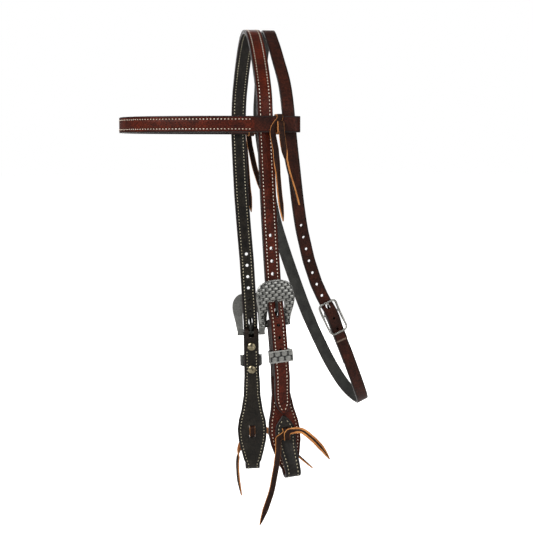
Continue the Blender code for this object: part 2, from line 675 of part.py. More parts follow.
def tongue_body(name, centre, up, across, out, arm, eye_inner, eye_outer, width, thickness, shader):
    """Flat-sided tongue: an eye on its bar and a bent arm given by its middle line."""
    arm = spline(arm, np.linspace(0.0, 1.0, 13))
    steps = np.gradient(arm, axis=0)
    steps /= np.linalg.norm(steps, axis=1)[:, None]
    sides = np.stack([-steps[:, 1], steps[:, 0]], axis=1)
    taper = np.interp(np.linspace(0, 1, len(arm)), [0.0, 0.85, 1.0], [1.0, 0.9, 0.5])[:, None]
    left = arm + sides * thickness / 2 * taper
    right = arm - sides * thickness / 2 * taper
    root_left = math.atan2(left[0][1], left[0][0])
    root_right = math.atan2(right[0][1], right[0][0])
    turns = np.linspace(root_left, root_right + 2 * math.pi, 14)[1:-1]
    eye = [(eye_outer * math.cos(a), eye_outer * math.sin(a)) for a in turns]
    outline = [tuple(p) for p in right] + [tuple(p) for p in reversed(left)] + eye
    rings = []
    for level in (-width / 2, width / 2):
        rings.append([tuple(centre + up * s + out * n + across * level) for s, n in outline])
    made = add_object(name, *loft(rings), shader, centre)
    cut_round(made, centre - across * width, centre + across * width, eye_inner, 10)
    return made


def cart_tongue(leg):
    shader = material(f"{leg.label}_tongue_steel", (0.2, 0.2, 0.2), 1.0, 0.4)
    eye_inner = BAR_RADIUS + CLEARANCE
    eye_outer = eye_inner + TONGUE_THICKNESS
    hole_in = billet_out(TONGUE_HOLE_RISE)
    hole_out = hole_in + CROWN_THICKNESS
    tip_out = FRAME_LIFT + FRAME_THICKNESS * FRAME_CROWN_SHARES[0][1] + TONGUE_THICKNESS * 0.5 + CLEARANCE * 2
    arm = (
        (eye_outer * 0.94, 0.0),
        (TONGUE_HOLE_RISE * 0.62, hole_in * 0.42),
        (TONGUE_HOLE_RISE * 0.9, hole_in * 1.1),
        (TONGUE_HOLE_RISE * 1.13, hole_out * 0.93),
        (TONGUE_HOLE_RISE * 1.42, hole_out + TONGUE_THICKNESS * 0.6),
        (TONGUE_TIP_RISE, tip_out),
    )
    name = f"{leg.label}_buckle_tongue"
    tongue_body(
        name, leg.bar, leg.up, leg.back, leg.out, arm, eye_inner, eye_outer, TONGUE_WIDTH,
        TONGUE_THICKNESS, shader)


def keeper(leg):
    """Wide metal loop round the billet, its back plate trapped between the cheek's plies."""
    shader = material(f"{leg.label}_keeper_metal", (0.3, 0.3, 0.29), 1.0, 0.35)
    front = BILLET_OVER_FOLD + CROWN_THICKNESS + CLEARANCE
    back = -KEEPER_PLATE / 2
    half_front = KEEPER_WIDTH / 2
    half_back = CHEEK_TOP_WIDTH / 2 + LOOSE + KEEPER_PLATE
    corner = KEEPER_PLATE * 0.8

    def ring(grow):
        wide, narrow = half_front + grow, half_back + grow
        low, high = back - grow, front + KEEPER_PLATE + grow
        soft = corner + grow * 0.5
        return [
            (-narrow + soft, low), (narrow - soft, low), (narrow, low + soft), (wide, high - soft),
            (wide - soft, high), (-wide + soft, high), (-wide, high - soft), (-narrow, low + soft)]

    rows = []
    for rise, outline in (
        (-KEEPER_HEIGHT / 2, ring(0.0)), (KEEPER_HEIGHT / 2, ring(0.0)),
        (KEEPER_HEIGHT / 2, ring(-KEEPER_PLATE)), (-KEEPER_HEIGHT / 2, ring(-KEEPER_PLATE)),
    ):
        shift = leg.bend(-KEEPER_DROP)
        rows.append([tuple(leg.place(rise - KEEPER_DROP, a + shift, n, bent=False)) for a, n in outline])
    add_object(f"{leg.label}_keeper", *loft(rows, closed=True), shader, leg.place(-KEEPER_DROP, 0.0, 0.0))


def chicago_screw(leg, label, below):
    """Barrel with a domed head on the horse's side and a flat cap sunk under the billet."""
    brass = material(f"{leg.label}_{label}_barrel_brass", (0.6, 0.38, 0.13), 1.0, 0.3)
    cap_metal = material(f"{leg.label}_{label}_cap_brass", (0.6, 0.38, 0.13), 1.0, 0.3)
    seat = -CHEEK_HALF_GAP - CHEEK_THICKNESS - CLEARANCE
    cap_seat = CHEEK_HALF_GAP + CHEEK_THICKNESS - CAP_HEIGHT
    base = leg.place(-below, 0.0, 0.0)
    profile = (
        (seat - DOME_HEIGHT, DOME_RADIUS * 0.35), (seat - DOME_HEIGHT * 0.8, DOME_RADIUS * 0.7),
        (seat - DOME_HEIGHT * 0.35, DOME_RADIUS * 0.95), (seat, DOME_RADIUS), (seat, POST_RADIUS),
        (cap_seat - CLEARANCE, POST_RADIUS), (cap_seat - CLEARANCE, SHANK_RADIUS + CLEARANCE),
        (-CHEEK_HALF_GAP, SHANK_RADIUS + CLEARANCE))
    add_turned(f"{leg.label}_{label}_barrel", base, leg.out, profile, brass)
    profile = (
        (-CHEEK_HALF_GAP + CLEARANCE, SHANK_RADIUS), (cap_seat, SHANK_RADIUS), (cap_seat, CAP_RADIUS),
        (cap_seat + CAP_HEIGHT, CAP_RADIUS))
    add_turned(f"{leg.label}_{label}_cap", base, leg.out, profile, cap_metal)


def add_turned(name, base, axis, profile, shader, sides=12):
    """Closed turned body from (distance, radius) pairs along an axis."""
    low = min(row[0] for row in profile)
    high = max(row[0] for row in profile)
    shares = [(row[0] - low) / (high - low) for row in profile]
    radii = [row[1] for row in profile]
    rings = cylinder_points(base + axis * low, base + axis * high, radii, sides, shares)
    made = add_object(name, *loft(rings), shader)
    round_shading(made)
    return made


# Browband

def band_point(turn, inset):
    """Plan position on the band's outline, inset inward from its outer face."""
    power = 2.0 / BAND_ROUNDNESS
    sine, cosine = math.sin(turn), math.cos(turn)
    x = math.copysign(abs(sine) ** power, sine) * (BAND_HALF_WIDTH - inset)
    y = -(abs(cosine) ** power) * (BAND_REACH - inset)
    return np.array([x, y, drop(BAND_DROP)])


def band_front(limit, count):
    """Front of the outline between two equal sideways turns."""
    points = np.array([band_point(t, 0.0) for t in np.linspace(-math.pi / 2, math.pi / 2, 181)])
    keep = points[points[:, 1] <= limit]
    steps = np.concatenate([[0.0], np.cumsum(np.linalg.norm(np.diff(keep, axis=0), axis=1))])
    at = np.linspace(0.0, steps[-1], count)
    return np.stack([np.interp(at, steps, keep[:, axis]) for axis in range(3)], axis=1)


def browband():
    """Doubled band whose outer leather folds back inside the crown and throatlatch."""
    leather = material("browband_leather", (0.11, 0.024, 0.014), 0.0, 0.45)
    lining = material("browband_lining_leather", (0.02, 0.022, 0.02), 0.0, 0.6)
    front = band_front(-BAND_LINING_END, 37)
    level = drop(BAND_DROP)
    outer_x = BAND_HALF_WIDTH
    radius = (BAND_LOOP_GAP + 2 * LEATHER) / 2
    fold_y = BAND_LOOP_REACH - radius
    inner_x = outer_x - 2 * radius
    side = [(outer_x, 0.0, level), (outer_x, fold_y * 0.5, level)]
    for step in range(9):
        turn = math.pi * step / 8
        side.append((outer_x - radius + math.cos(turn) * radius, fold_y + math.sin(turn) * radius, level))
    for y in (fold_y * 0.5, 0.0, -BAND_RETURN_END):
        side.append((inner_x, y, level))
    near = np.array(side)
    off = near[::-1] * np.array([-1.0, 1.0, 1.0])
    path = np.concatenate([off, front, near])
    across = np.array([[0.0, 0.0, 1.0]] * len(path))
    halves = [STRAP_WIDTH / 2] * len(path)
    origin = (0.0, 0.0, level)
    strap("browband", path, across, halves, -LEATHER, 0.0, leather, origin=origin)
    across = np.array([[0.0, 0.0, 1.0]] * len(front))
    halves = [STRAP_WIDTH / 2] * len(front)
    deep, shallow = -2 * LEATHER - PLY_GAP, -LEATHER - PLY_GAP
    strap("browband_lining", front, across, halves, deep, shallow, lining, False, origin=origin)


# Throatlatch

class Loop:
    """Closed course of the throatlatch, measured from its buckle bar down and round the jaw."""

    def __init__(self):
        rows = np.array(THROAT_SHARES)
        level = drop(rows[:, 2] * THROAT_DEPTH)
        points = np.stack([rows[:, 0] * HEAD_HALF_WIDTH, rows[:, 1] * THROAT_REACH, level], axis=1)
        ring = np.concatenate([points[-3:], points, points[:4]])
        steps = np.concatenate([[0.0], np.cumsum(np.linalg.norm(np.diff(ring, axis=0), axis=1))])
        first, last = steps[3] / steps[-1], steps[-4] / steps[-1]
        dense = spline(ring, np.linspace(first, last, 721))
        self.at = np.concatenate([[0.0], np.cumsum(np.linalg.norm(np.diff(dense, axis=0), axis=1))])
        self.length = float(self.at[-1])
        self.points = dense
        tangents = np.gradient(dense, axis=0)
        tangents[0] = tangents[-1] = dense[1] - dense[-2]
        self.tangents = tangents / np.linalg.norm(tangents, axis=1)[:, None]
        levels = [drop(THROAT_DEPTH * share) for share in (1.0, 0.7, 0.2)] + [0.0]
        leans = [math.radians(turn) for turn in (26.0, 24.0, 6.0, 0.0)]
        lean = np.interp(dense[:, 2], levels, leans)
        self.sides = np.stack([lean * 0.0, np.cos(lean), np.sin(lean)], axis=1)

    def read(self, rows, at):
        at = at % self.length
        return np.array([np.interp(at, self.at, rows[:, axis]) for axis in range(3)])

    def frame(self, at):
        tangent = unit(self.read(self.tangents, at))
        side = self.read(self.sides, at)
        side = unit(side - tangent * side.dot(tangent))
        return tangent, side, np.cross(tangent, side)

    def place(self, at, out):
        return self.read(self.points, at) + self.frame(at)[2] * out


THROAT_FOLD_MID = THROAT_WIRE_RADIUS + BAR_PLAY + THROAT_LEATHER / 2
THROAT_TOP_BAR = (THROAT_FRAME_LENGTH - 2 * THROAT_WIRE_RADIUS) * THROAT_BAR_SHARE
THROAT_LOW_BAR = THROAT_FRAME_LENGTH - 2 * THROAT_WIRE_RADIUS - THROAT_TOP_BAR
THROAT_BILLET_OVER = THROAT_FOLD_MID + THROAT_LEATHER + CLEARANCE
THROAT_BILLET_UNDER = THROAT_BAR_LIFT - THROAT_WIRE_RADIUS - THROAT_LEATHER / 2 - LOOSE
THROAT_LOOP_UNDER = THROAT_BILLET_UNDER - THROAT_LEATHER - CLEARANCE


def throatlatch(loop):
    """One strap: fold at the bar, loop round the jaw and poll, billet through the buckle."""
    leather = material("throatlatch_leather", (0.045, 0.018, 0.014), 0.0, 0.5)
    path, across = [], []
    settle = THROAT_FOLD_LENGTH

    def loop_out(at):
        past = THROAT_BILLET_PAST_BAR + LOOSE
        keys = (0.0, THROAT_WIRE_RADIUS * 2, THROAT_LOW_BAR * 0.8, past, settle * 1.6)
        values = (THROAT_FOLD_MID, THROAT_FOLD_MID, THROAT_LOOP_UNDER, THROAT_LOOP_UNDER, 0.0)
        return float(np.interp(at, keys, values))

    def under_out(at):
        return min(loop_out(at) - THROAT_LEATHER - CLEARANCE, -THROAT_FOLD_MID)

    def billet_mid(at):
        keys = (-settle, -THROAT_TOP_BAR * 0.9, -THROAT_WIRE_RADIUS * 2, THROAT_WIRE_RADIUS * 2,
                THROAT_LOW_BAR * 0.8, THROAT_BILLET_PAST_BAR)
        over, under = THROAT_BILLET_OVER, THROAT_BILLET_UNDER
        values = (0.0, under, over, over, under, under)
        return float(np.interp(at, keys, values))

    def add(at, out):
        path.append(loop.place(at, out))
        across.append(loop.frame(at)[1])

    stations = (
        THROAT_WIRE_RADIUS * 3, THROAT_LOW_BAR * 0.4, THROAT_LOW_BAR * 0.6, THROAT_LOW_BAR * 0.8,
        THROAT_BILLET_PAST_BAR * 0.72, THROAT_BILLET_PAST_BAR * 0.86, THROAT_BILLET_PAST_BAR)
    tail = (settle * 0.68, settle * 0.84, settle)
    for at in reversed(stations + tail):
        add(at, under_out(at))
    tangent, side, out = loop.frame(0.0)
    centre = loop.place(0.0, 0.0)
    for step in range(9):
        turn = math.pi * step / 8
        path.append(centre - (tangent * math.sin(turn) + out * math.cos(turn)) * THROAT_FOLD_MID)
        across.append(side)
    for at in stations + tail + (settle * 1.3, settle * 1.6):
        add(at, loop_out(at))
    start, stop = settle * 1.6, loop.length - settle
    for at in np.linspace(start, stop, 58)[1:]:
        add(at, 0.0)
    before = [-THROAT_TOP_BAR * share for share in (2.75, 1.6, 0.9, 0.55)]
    for at in (*before, -THROAT_WIRE_RADIUS, THROAT_WIRE_RADIUS, *stations):
        add(loop.length + at, billet_mid(at))
    halves = [THROAT_WIDTH / 2] * len(path)
    hinge = throat_hinge()
    half = THROAT_LEATHER / 2
    piece = strap("throatlatch_strap", path, across, halves, -half, half, leather, origin=hinge)
    depth = THROAT_FOLD_MID + THROAT_LEATHER / 2 + CLEARANCE / 2
    slot = (THROAT_TONGUE_WIDTH / 2 + LOOSE, THROAT_FOLD_MID * 1.9, depth)
    cut_box(piece, centre - tangent * THROAT_WIRE_RADIUS, (side, tangent, out), slot)
    for index in range(-THROAT_HOLES_BELOW, THROAT_HOLES_ABOVE + 1):
        at = -THROAT_HOLE_RISE - index * HOLE_PITCH
        before, middle, after = (
            loop.place(loop.length + at + step, billet_mid(at + step)) for step in (-half, 0.0, half))
        side_here = loop.frame(loop.length + at)[1]
        along = unit(after - before)
        through = np.cross(along, side_here)
        if index == 0:
            reach = through * THROAT_LEATHER * 1.6
            cut_oval(piece, middle, along, side_here, reach, THROAT_WORN_RADIUS * 0.6, THROAT_WORN_RADIUS)
        else:
            reach = through * (half + CLEARANCE / 2)
            cut_round(piece, middle - reach, middle + reach, THROAT_HOLE_RADIUS)


def throat_hinge():
    return (0.0, THROAT_REACH * 0.21, drop(BAND_DROP))


def throat_buckle(loop):
    """Bent wire frame with a fixed bar and its tongue."""
    steel = material("throat_buckle_steel", (0.62, 0.62, 0.6), 1.0, 0.2)
    tongue_steel = material("throat_tongue_steel", (0.62, 0.62, 0.6), 1.0, 0.2)
    down, side, out = loop.frame(0.0)
    centre = loop.place(0.0, 0.0)
    half = THROAT_FRAME_WIDTH / 2 - THROAT_WIRE_RADIUS
    corner = THROAT_FRAME_CORNER
    outline = []
    for rise_sign, side_sign in ((1, 1), (1, -1), (-1, -1), (-1, 1)):
        reach = THROAT_TOP_BAR if rise_sign > 0 else THROAT_LOW_BAR
        for step in range(4):
            turn = math.pi / 2 * step / 3
            if rise_sign * side_sign < 0:
                turn = math.pi / 2 - turn
            a = side_sign * (half - corner + corner * math.cos(turn))
            s = rise_sign * (reach - corner + corner * math.sin(turn))
            outline.append((s, a))
        if side_sign < 0 < rise_sign or rise_sign < 0 < side_sign:
            for share in (0.5, 0.0) if rise_sign > 0 else (-0.5,):
                outline.append((share * (reach - corner), -half if rise_sign > 0 else half))
    rings = []
    points = []
    for s, a in outline:
        reach = THROAT_TOP_BAR if s > 0 else THROAT_LOW_BAR
        points.append(centre - down * s + side * a + out * THROAT_BAR_LIFT * (s / reach) ** 2)
    count = len(points)
    for i, point in enumerate(points):
        tangent = unit(points[(i + 1) % count] - points[i - 1])
        normal = unit(out - tangent * out.dot(tangent))
        other = np.cross(tangent, normal)
        angles = [2 * math.pi * (k + 0.5) / 8 for k in range(8)]
        spokes = [math.cos(t) * normal + math.sin(t) * other for t in angles]
        rings.append([tuple(point + THROAT_WIRE_RADIUS * spoke) for spoke in spokes])
    frame = add_object("throat_buckle_frame", *loft(rings, closed=True), steel, centre)
    rings = cylinder_points(centre - side * half, centre + side * half, (THROAT_WIRE_RADIUS * 0.98,) * 2, 10)
    combine(frame, *loft(rings), "UNION")
    round_shading(frame)
    eye_inner = THROAT_WIRE_RADIUS + CLEARANCE
    thick = TONGUE_THICKNESS * 0.85
    eye_outer = eye_inner + thick
    tip = THROAT_BAR_LIFT + THROAT_WIRE_RADIUS + CLEARANCE + thick / 2
    arm = (
        (eye_outer * 0.94, 0.0), (THROAT_HOLE_RISE * 0.62, THROAT_BILLET_UNDER * 0.2),
        (THROAT_HOLE_RISE * 0.96, THROAT_BILLET_UNDER + THROAT_LEATHER * 0.6),
        (THROAT_TOP_BAR * 0.93, tip), (THROAT_TOP_BAR + THROAT_WIRE_RADIUS, tip + CLEARANCE))
    tongue_body(
        "throat_buckle_tongue", centre, -down, side, out, arm, eye_inner, eye_outer, THROAT_TONGUE_WIDTH,
        thick, tongue_steel)


# Laces and thongs

def lace(name, path, start_side, flat_rows, flat_out, level_rows, shader, origin=(0.0, 0.0, 0.0)):
    """Flat thong along a path, laid flat on a face and level where it wraps."""
    path = np.asarray(path, dtype=float)
    steps = np.diff(path, axis=0)
    steps /= np.linalg.norm(steps, axis=1)[:, None]
    tangents = np.concatenate([steps[:1], steps[1:] + steps[:-1], steps[-1:]])
    side = np.asarray(start_side, dtype=float)
    across = []
    for index, tangent in enumerate(tangents):
        tangent = unit(tangent)
        if index in flat_rows:
            side = side - flat_out * side.dot(flat_out)
        if index in level_rows:
            side = np.asarray(start_side, dtype=float)
        side = unit(side - tangent * side.dot(tangent))
        across.append(side)
    halves = np.full(len(path), LACE_WIDTH / 2)
    halves[0] = halves[-1] = LACE_WIDTH * 0.3
    half = LACE_THICKNESS / 2
    strap(name, path, across, halves, -half, half, shader, bevel=0.0, origin=origin)


def bit_lace(leg, front_shares, back_shares):
    """Lace through both slots of the folded cheek, crossing itself once on the tab."""
    shader = material(f"{leg.label}_bit_lace_leather", (0.06, 0.025, 0.018), 0.0, 0.6)
    half = LACE_THICKNESS / 2
    face = tab_out(LOWER_LACE_DROP) + CHEEK_THICKNESS / 2 + CLEARANCE + half
    over = face + LACE_THICKNESS + CLEARANCE * 2
    inside = -CHEEK_HALF_GAP - CHEEK_THICKNESS - CLEARANCE - half
    bend = LACE_THICKNESS * 1.15
    low, high = -LOWER_LACE_DROP, -UPPER_LACE_DROP
    span = high - low
    rows = []
    for rise, back, out in front_shares:
        rows.append((low + rise * LACE_TAIL, back * LACE_TAIL, face + out * LACE_TAIL))
    sweep = LACE_WIDTH * 0.67
    slant = math.pi / 3
    entry = (high - bend - sweep * math.sin(slant), sweep * (math.cos(slant) - 1.0))
    first_flat = len(rows)
    for run in (LACE_WIDTH * 1.33, LACE_WIDTH * 0.67):
        rows.append((entry[0] - run * math.cos(slant), entry[1] - run * math.sin(slant), face))
    for share in (1.0, 0.75, 0.5, 0.25):
        turn = slant * share
        rows.append((high - bend - sweep * math.sin(turn), sweep * (math.cos(turn) - 1.0), face))
    first_level = len(rows)
    corner = [(1.0 - math.cos(t), math.sin(t)) for t in (math.pi / 6, math.pi / 3, math.pi / 2)]
    rows.append((high - bend, 0.0, face))
    rows += [(high - bend + bend * sine, 0.0, face - bend * fall) for fall, sine in corner]
    rows += [(high - bend * fall, 0.0, inside + bend * (1 - sine)) for fall, sine in ((0.0, 0.0), *corner)]
    rows += [(low + bend * (1 - sine), 0.0, inside + bend * fall) for fall, sine in ((0.0, 0.0), *corner)]
    rows.append((low, 0.0, face))
    rows += [(low + bend * fall, 0.0, over - bend * (1 - sine)) for fall, sine in corner]
    last_level = len(rows)
    start = low + span * 0.42
    rows.append((start, 0.0, over))
    for share in (0.25, 0.5, 0.75, 1.0):
        turn = math.pi / 2 * share
        rows.append((start + sweep * math.sin(turn), sweep * (1.0 - math.cos(turn)), over))
    for rise, back, out in back_shares:
        rows.append((high + rise * LACE_TAIL, back * LACE_TAIL, face + out * LACE_TAIL))
    path = [leg.place(*row) for row in rows]
    flat = range(first_flat, first_level)
    lace(f"{leg.label}_bit_lace", path, leg.back, flat, leg.out, range(first_level, last_level), shader)


def band_tie(side):
    """Thong wrapped once round the browband between the crown and the throatlatch."""
    label = "near" if side > 0 else "off"
    shader = material(f"{label}_tie_leather", (0.05, 0.02, 0.015), 0.0, 0.6)
    half = LACE_THICKNESS / 2
    gap = CLEARANCE + half
    outer = BAND_HALF_WIDTH + gap
    over = outer + LACE_THICKNESS + CLEARANCE * 2
    inner = BAND_HALF_WIDTH - BAND_LOOP_GAP - 2 * LEATHER - gap
    top = -STRAP_WIDTH / 2 - gap
    low = STRAP_WIDTH / 2 + gap
    bend = LACE_THICKNESS * 1.2
    mid = TIE_SET_BACK
    arc = [(math.sin(t), 1.0 - math.cos(t)) for t in (0.0, math.pi / 6, math.pi / 3, math.pi / 2)]
    wrap = range(len(FRONT_TIE_SHARES) + 4, len(FRONT_TIE_SHARES) + 25)
    rows = [(outer + x * TIE_TAIL, mid + y * TIE_TAIL, z * TIE_TAIL) for x, y, z in FRONT_TIE_SHARES]
    rows += [
        (outer, mid - LACE_WIDTH * 1.15, STRAP_WIDTH * 0.4),
        (outer, mid - LACE_WIDTH * 0.95, STRAP_WIDTH * 0.15),
        (outer, mid - LACE_WIDTH * 0.55, -STRAP_WIDTH * 0.07),
        (outer, mid - LACE_WIDTH * 0.15, -STRAP_WIDTH * 0.25),
    ]
    rows += [(outer - bend * b, mid, top + bend - bend * a) for a, b in arc]
    rows += [(inner + bend * (1 - a), mid, top + bend * b) for a, b in arc]
    rows += [(inner + bend * b, mid, low - bend * (1 - a)) for a, b in arc]
    rows += [(over - bend * (1 - a), mid, low - bend * b) for a, b in arc]
    rows += [(over, mid, STRAP_WIDTH * 0.05)]
    fold = LACE_THICKNESS * 0.9
    for step in range(5):
        turn = math.pi * step / 4
        rows.append((over + fold - fold * math.cos(turn), mid, -STRAP_WIDTH * 0.05 - fold * math.sin(turn)))
    for x, y, z in BACK_TIE_SHARES:
        rows.append((over + 2 * fold + x * TIE_TAIL * 0.5, mid + y * TIE_TAIL, z * TIE_TAIL))
    level = drop(BAND_DROP)
    path = [(side * x, y, level - z) for x, y, z in rows]
    flat = range(len(FRONT_TIE_SHARES), len(FRONT_TIE_SHARES) + 4)
    face = np.array([side, 0.0, 0.0])
    origin = (0.0, 0.0, level)
    lace(f"{label}_band_tie", path, (0.0, 1.0, 0.0), flat, face, wrap, shader, origin)


def build():
    for old in list(bpy.data.objects):
        bpy.data.objects.remove(old, do_unlink=True)
    near = Leg(1.0, NEAR_BAR_DROP, NEAR_LEG_SWEEP, NEAR_SWEEP_SHARES)
    off = Leg(-1.0, OFF_BAR_DROP, OFF_LEG_SWEEP, OFF_SWEEP_SHARES)
    crown(near, off)
    for leg in (near, off):
        cheek(leg)
        cart_frame(leg)
        bar_pin(leg)
        cart_tongue(leg)
        keeper(leg)
        chicago_screw(leg, "upper_screw", UPPER_SCREW_DROP)
        chicago_screw(leg, "lower_screw", LOWER_SCREW_DROP)
    browband()
    band_tie(1.0)
    band_tie(-1.0)
    loop = Loop()
    throatlatch(loop)
    throat_buckle(loop)
    bit_lace(near, NEAR_FRONT_TAIL_SHARES, NEAR_BACK_TAIL_SHARES)
    bit_lace(off, OFF_FRONT_TAIL_SHARES, OFF_BACK_TAIL_SHARES)


build()
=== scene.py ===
import math

import bmesh
import bpy
import numpy as np
from mathutils import Matrix, Vector


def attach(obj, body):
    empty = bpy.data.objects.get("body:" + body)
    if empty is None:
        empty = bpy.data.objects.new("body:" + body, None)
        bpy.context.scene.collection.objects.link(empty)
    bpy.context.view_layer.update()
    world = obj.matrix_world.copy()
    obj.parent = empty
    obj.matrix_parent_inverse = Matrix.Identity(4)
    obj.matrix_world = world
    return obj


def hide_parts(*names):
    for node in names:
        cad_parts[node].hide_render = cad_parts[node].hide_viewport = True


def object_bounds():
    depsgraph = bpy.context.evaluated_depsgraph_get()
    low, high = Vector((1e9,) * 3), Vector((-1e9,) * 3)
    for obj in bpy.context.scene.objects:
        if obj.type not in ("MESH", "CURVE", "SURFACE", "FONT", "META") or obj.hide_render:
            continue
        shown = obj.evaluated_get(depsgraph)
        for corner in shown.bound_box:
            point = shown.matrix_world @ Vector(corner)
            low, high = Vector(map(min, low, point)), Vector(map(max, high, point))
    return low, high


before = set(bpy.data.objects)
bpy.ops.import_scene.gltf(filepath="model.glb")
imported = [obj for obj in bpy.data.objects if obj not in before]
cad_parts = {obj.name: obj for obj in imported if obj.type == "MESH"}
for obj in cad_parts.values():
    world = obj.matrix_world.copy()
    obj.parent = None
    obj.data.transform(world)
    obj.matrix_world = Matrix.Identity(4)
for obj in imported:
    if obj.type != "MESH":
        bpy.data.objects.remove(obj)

cad_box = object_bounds()

# Studio
# A white paper sweep with one large soft light high on the left, a weaker one on the right and a
# third low behind. The long lens looks at the near side from a little in front of it.

MM = 0.001
LENS = 86.6
VIEW_AZIMUTH = 80.0
VIEW_ELEVATION = 5.2
VIEW_DISTANCE = 1348 * MM
VIEW_CENTRE = Vector((2.6, 16.3, -241.3)) * MM
FLOOR_GAP = 40 * MM
FLOOR_SIZE = 40.0
FLOOR_GLOW = 0.82
PAPER_WHITE = "#f4f3f1"
ROOM_GREY = "#e9e9e9"
ROOM_LIGHT = 0.27
WHITE = (1.0, 1.0, 1.0, 1.0)
SOFTBOX_SIZE = 1.4
SOFTBOXES = (
    ("key_light", 35.0, 38.0, 1.7, 28.0), ("fill_light", 125.0, 20.0, 1.9, 12.0),
    ("back_light", 260.0, 15.0, 1.8, 18.0))


def colour(code):
    """Linear colour of an sRGB hex code."""
    parts = [int(code[i:i + 2], 16) / 255 for i in (1, 3, 5)]
    return tuple(c / 12.92 if c <= 0.04045 else ((c + 0.055) / 1.055) ** 2.4 for c in parts) + (1.0,)


def feed(tree, made, inputs):
    """Give a node its inputs, each a value or the socket it is linked from."""
    for name, value in inputs.items():
        if isinstance(value, bpy.types.NodeSocket):
            tree.links.new(value, made.inputs[name])
        else:
            made.inputs[name].default_value = value


def node(tree, kind, inputs=None, **settings):
    """Add a shader node with its settings and inputs."""
    made = tree.nodes.new("ShaderNode" + kind)
    for name, value in settings.items():
        setattr(made, name, value)
    feed(tree, made, inputs or {})
    return made


def new_material(name):
    made = bpy.data.materials.new(name)
    made.use_nodes = True
    return made, made.node_tree, made.node_tree.nodes["Principled BSDF"]


def aimed(name, data, azimuth, elevation, distance):
    """Camera or lamp that looks at the middle of the view from two angles in degrees."""
    azimuth, elevation = math.radians(azimuth), math.radians(elevation)
    flat = math.cos(elevation)
    away = Vector((math.sin(azimuth) * flat, -math.cos(azimuth) * flat, math.sin(elevation)))
    made = bpy.data.objects.new(name, data)
    made.location = VIEW_CENTRE + away * distance
    made.rotation_euler = away.to_track_quat("Z", "Y").to_euler()
    scene.collection.objects.link(made)
    return made


scene = bpy.context.scene
scene.view_settings.view_transform = "Standard"
camera = bpy.data.cameras.new("camera")
camera.lens = LENS
scene.camera = aimed("camera", camera, VIEW_AZIMUTH, VIEW_ELEVATION, VIEW_DISTANCE)
for name, azimuth, elevation, distance, power in SOFTBOXES:
    lamp = bpy.data.lights.new(name, "AREA")
    lamp.shape = "SQUARE"
    lamp.size = SOFTBOX_SIZE
    lamp.energy = power
    aimed(name, lamp, azimuth, elevation, distance)

world = bpy.data.worlds.new("studio_air")
scene.world = world
world.use_nodes = True
tree = world.node_tree
tree.nodes.clear()
camera_ray = node(tree, "LightPath").outputs["Is Camera Ray"]
room = node(tree, "Background", {"Color": colour(ROOM_GREY), "Strength": ROOM_LIGHT})
paper = node(tree, "Background", {"Color": WHITE, "Strength": 1.0})
seen = node(tree, "MixShader", {0: camera_ray, 1: room.outputs[0], 2: paper.outputs[0]})
node(tree, "OutputWorld", {"Surface": seen.outputs[0]})

sheet = bmesh.new()
bmesh.ops.create_grid(sheet, x_segments=1, y_segments=1, size=FLOOR_SIZE / 2)
bmesh.ops.translate(sheet, verts=sheet.verts, vec=(0.0, 0.0, cad_box[0].z - FLOOR_GAP))
floor_mesh = bpy.data.meshes.new("paper_floor")
sheet.to_mesh(floor_mesh)
sheet.free()
floor = bpy.data.objects.new("paper_floor", floor_mesh)
scene.collection.objects.link(floor)
paper_white, tree, shader = new_material("matt_white_paper")
camera_ray = node(tree, "LightPath").outputs["Is Camera Ray"]
glow = node(tree, "Math", {0: camera_ray, 1: FLOOR_GLOW}, operation="MULTIPLY").outputs[0]
feed(tree, shader, {
    "Base Color": colour(PAPER_WHITE), "Roughness": 0.9, "Emission Color": WHITE, "Emission Strength": glow})
floor_mesh.materials.append(paper_white)

# Crown strap
# Two plies of drum-dyed bridle leather, reddish brown outside and black against the poll, sewn
# together with two rows of white waxed thread. It ends in a punched billet on each side, with
# the edges sanded round, stained and burnished.

STRAP_WIDTH = 15.9 * MM
LEATHER = 2.0 * MM
PLY_GAP = 0.3 * MM
CROWN_THICKNESS = 2 * LEATHER + PLY_GAP
HEAD_HALF_WIDTH = 86.0 * MM
ARCH_DROP = 90.0 * MM
LEG_YAW = math.radians(6.0)
BAR_DROPS = (295.3 * MM, 327.3 * MM)
LEG_SWEEPS = (28.3 * MM, 15.8 * MM)
BILLET_TAIL = 91.0 * MM
BILLET_POINT = 15.0 * MM
HOLE_PITCH = 12.7 * MM
HOLE_RADIUS = 1.7 * MM
WORN_HOLE_RADIUS = 2.2 * MM
HOLE_COUNT = 10
HOLE_SIDES = 20
HOLE_IN_USE = 7
TONGUE_HOLE_RISE = 12.1 * MM
WORN_HOLE_STRETCH = 5.4 * MM
BIT_FOLD_DROP = 156.0 * MM
BAR_RADIUS = 1.3 * MM
CLEARANCE = 0.3 * MM
CHEEK_LEATHER = 1.35 * MM
CHEEK_THICKNESS = 2 * CHEEK_LEATHER + PLY_GAP
FRAME_RISE = 44.5 * MM
WINDOW_RISE = 22.8 * MM
FOLD_OUT_LENGTH = 52.0 * MM
UPPER_SCREW_DROP = 15.3 * MM
KEEPER_DROP = 32.0 * MM
KEEPER_PLATE = 1.2 * MM
STITCH_PITCH = 3.45 * MM
STITCH_LENGTH = 1.85 * MM
STITCH_WIDTH = 1.05 * MM
STITCH_HEIGHT = 0.32 * STITCH_WIDTH
STITCH_INSET = 3.2 * MM
GROOVE_DEPTH = 0.22 * MM
GROOVE_HALF_WIDTH = 0.7 * MM
EDGE_ROUND = 0.6 * MM
CROWN_STEP = 1.6 * MM
ARCH_STEP = 4.0 * MM
ARC_STEPS = 13
SHOULDER = 2.5 * MM
NARROWEST_HALF = 0.3 * MM
WELD = 1e-7
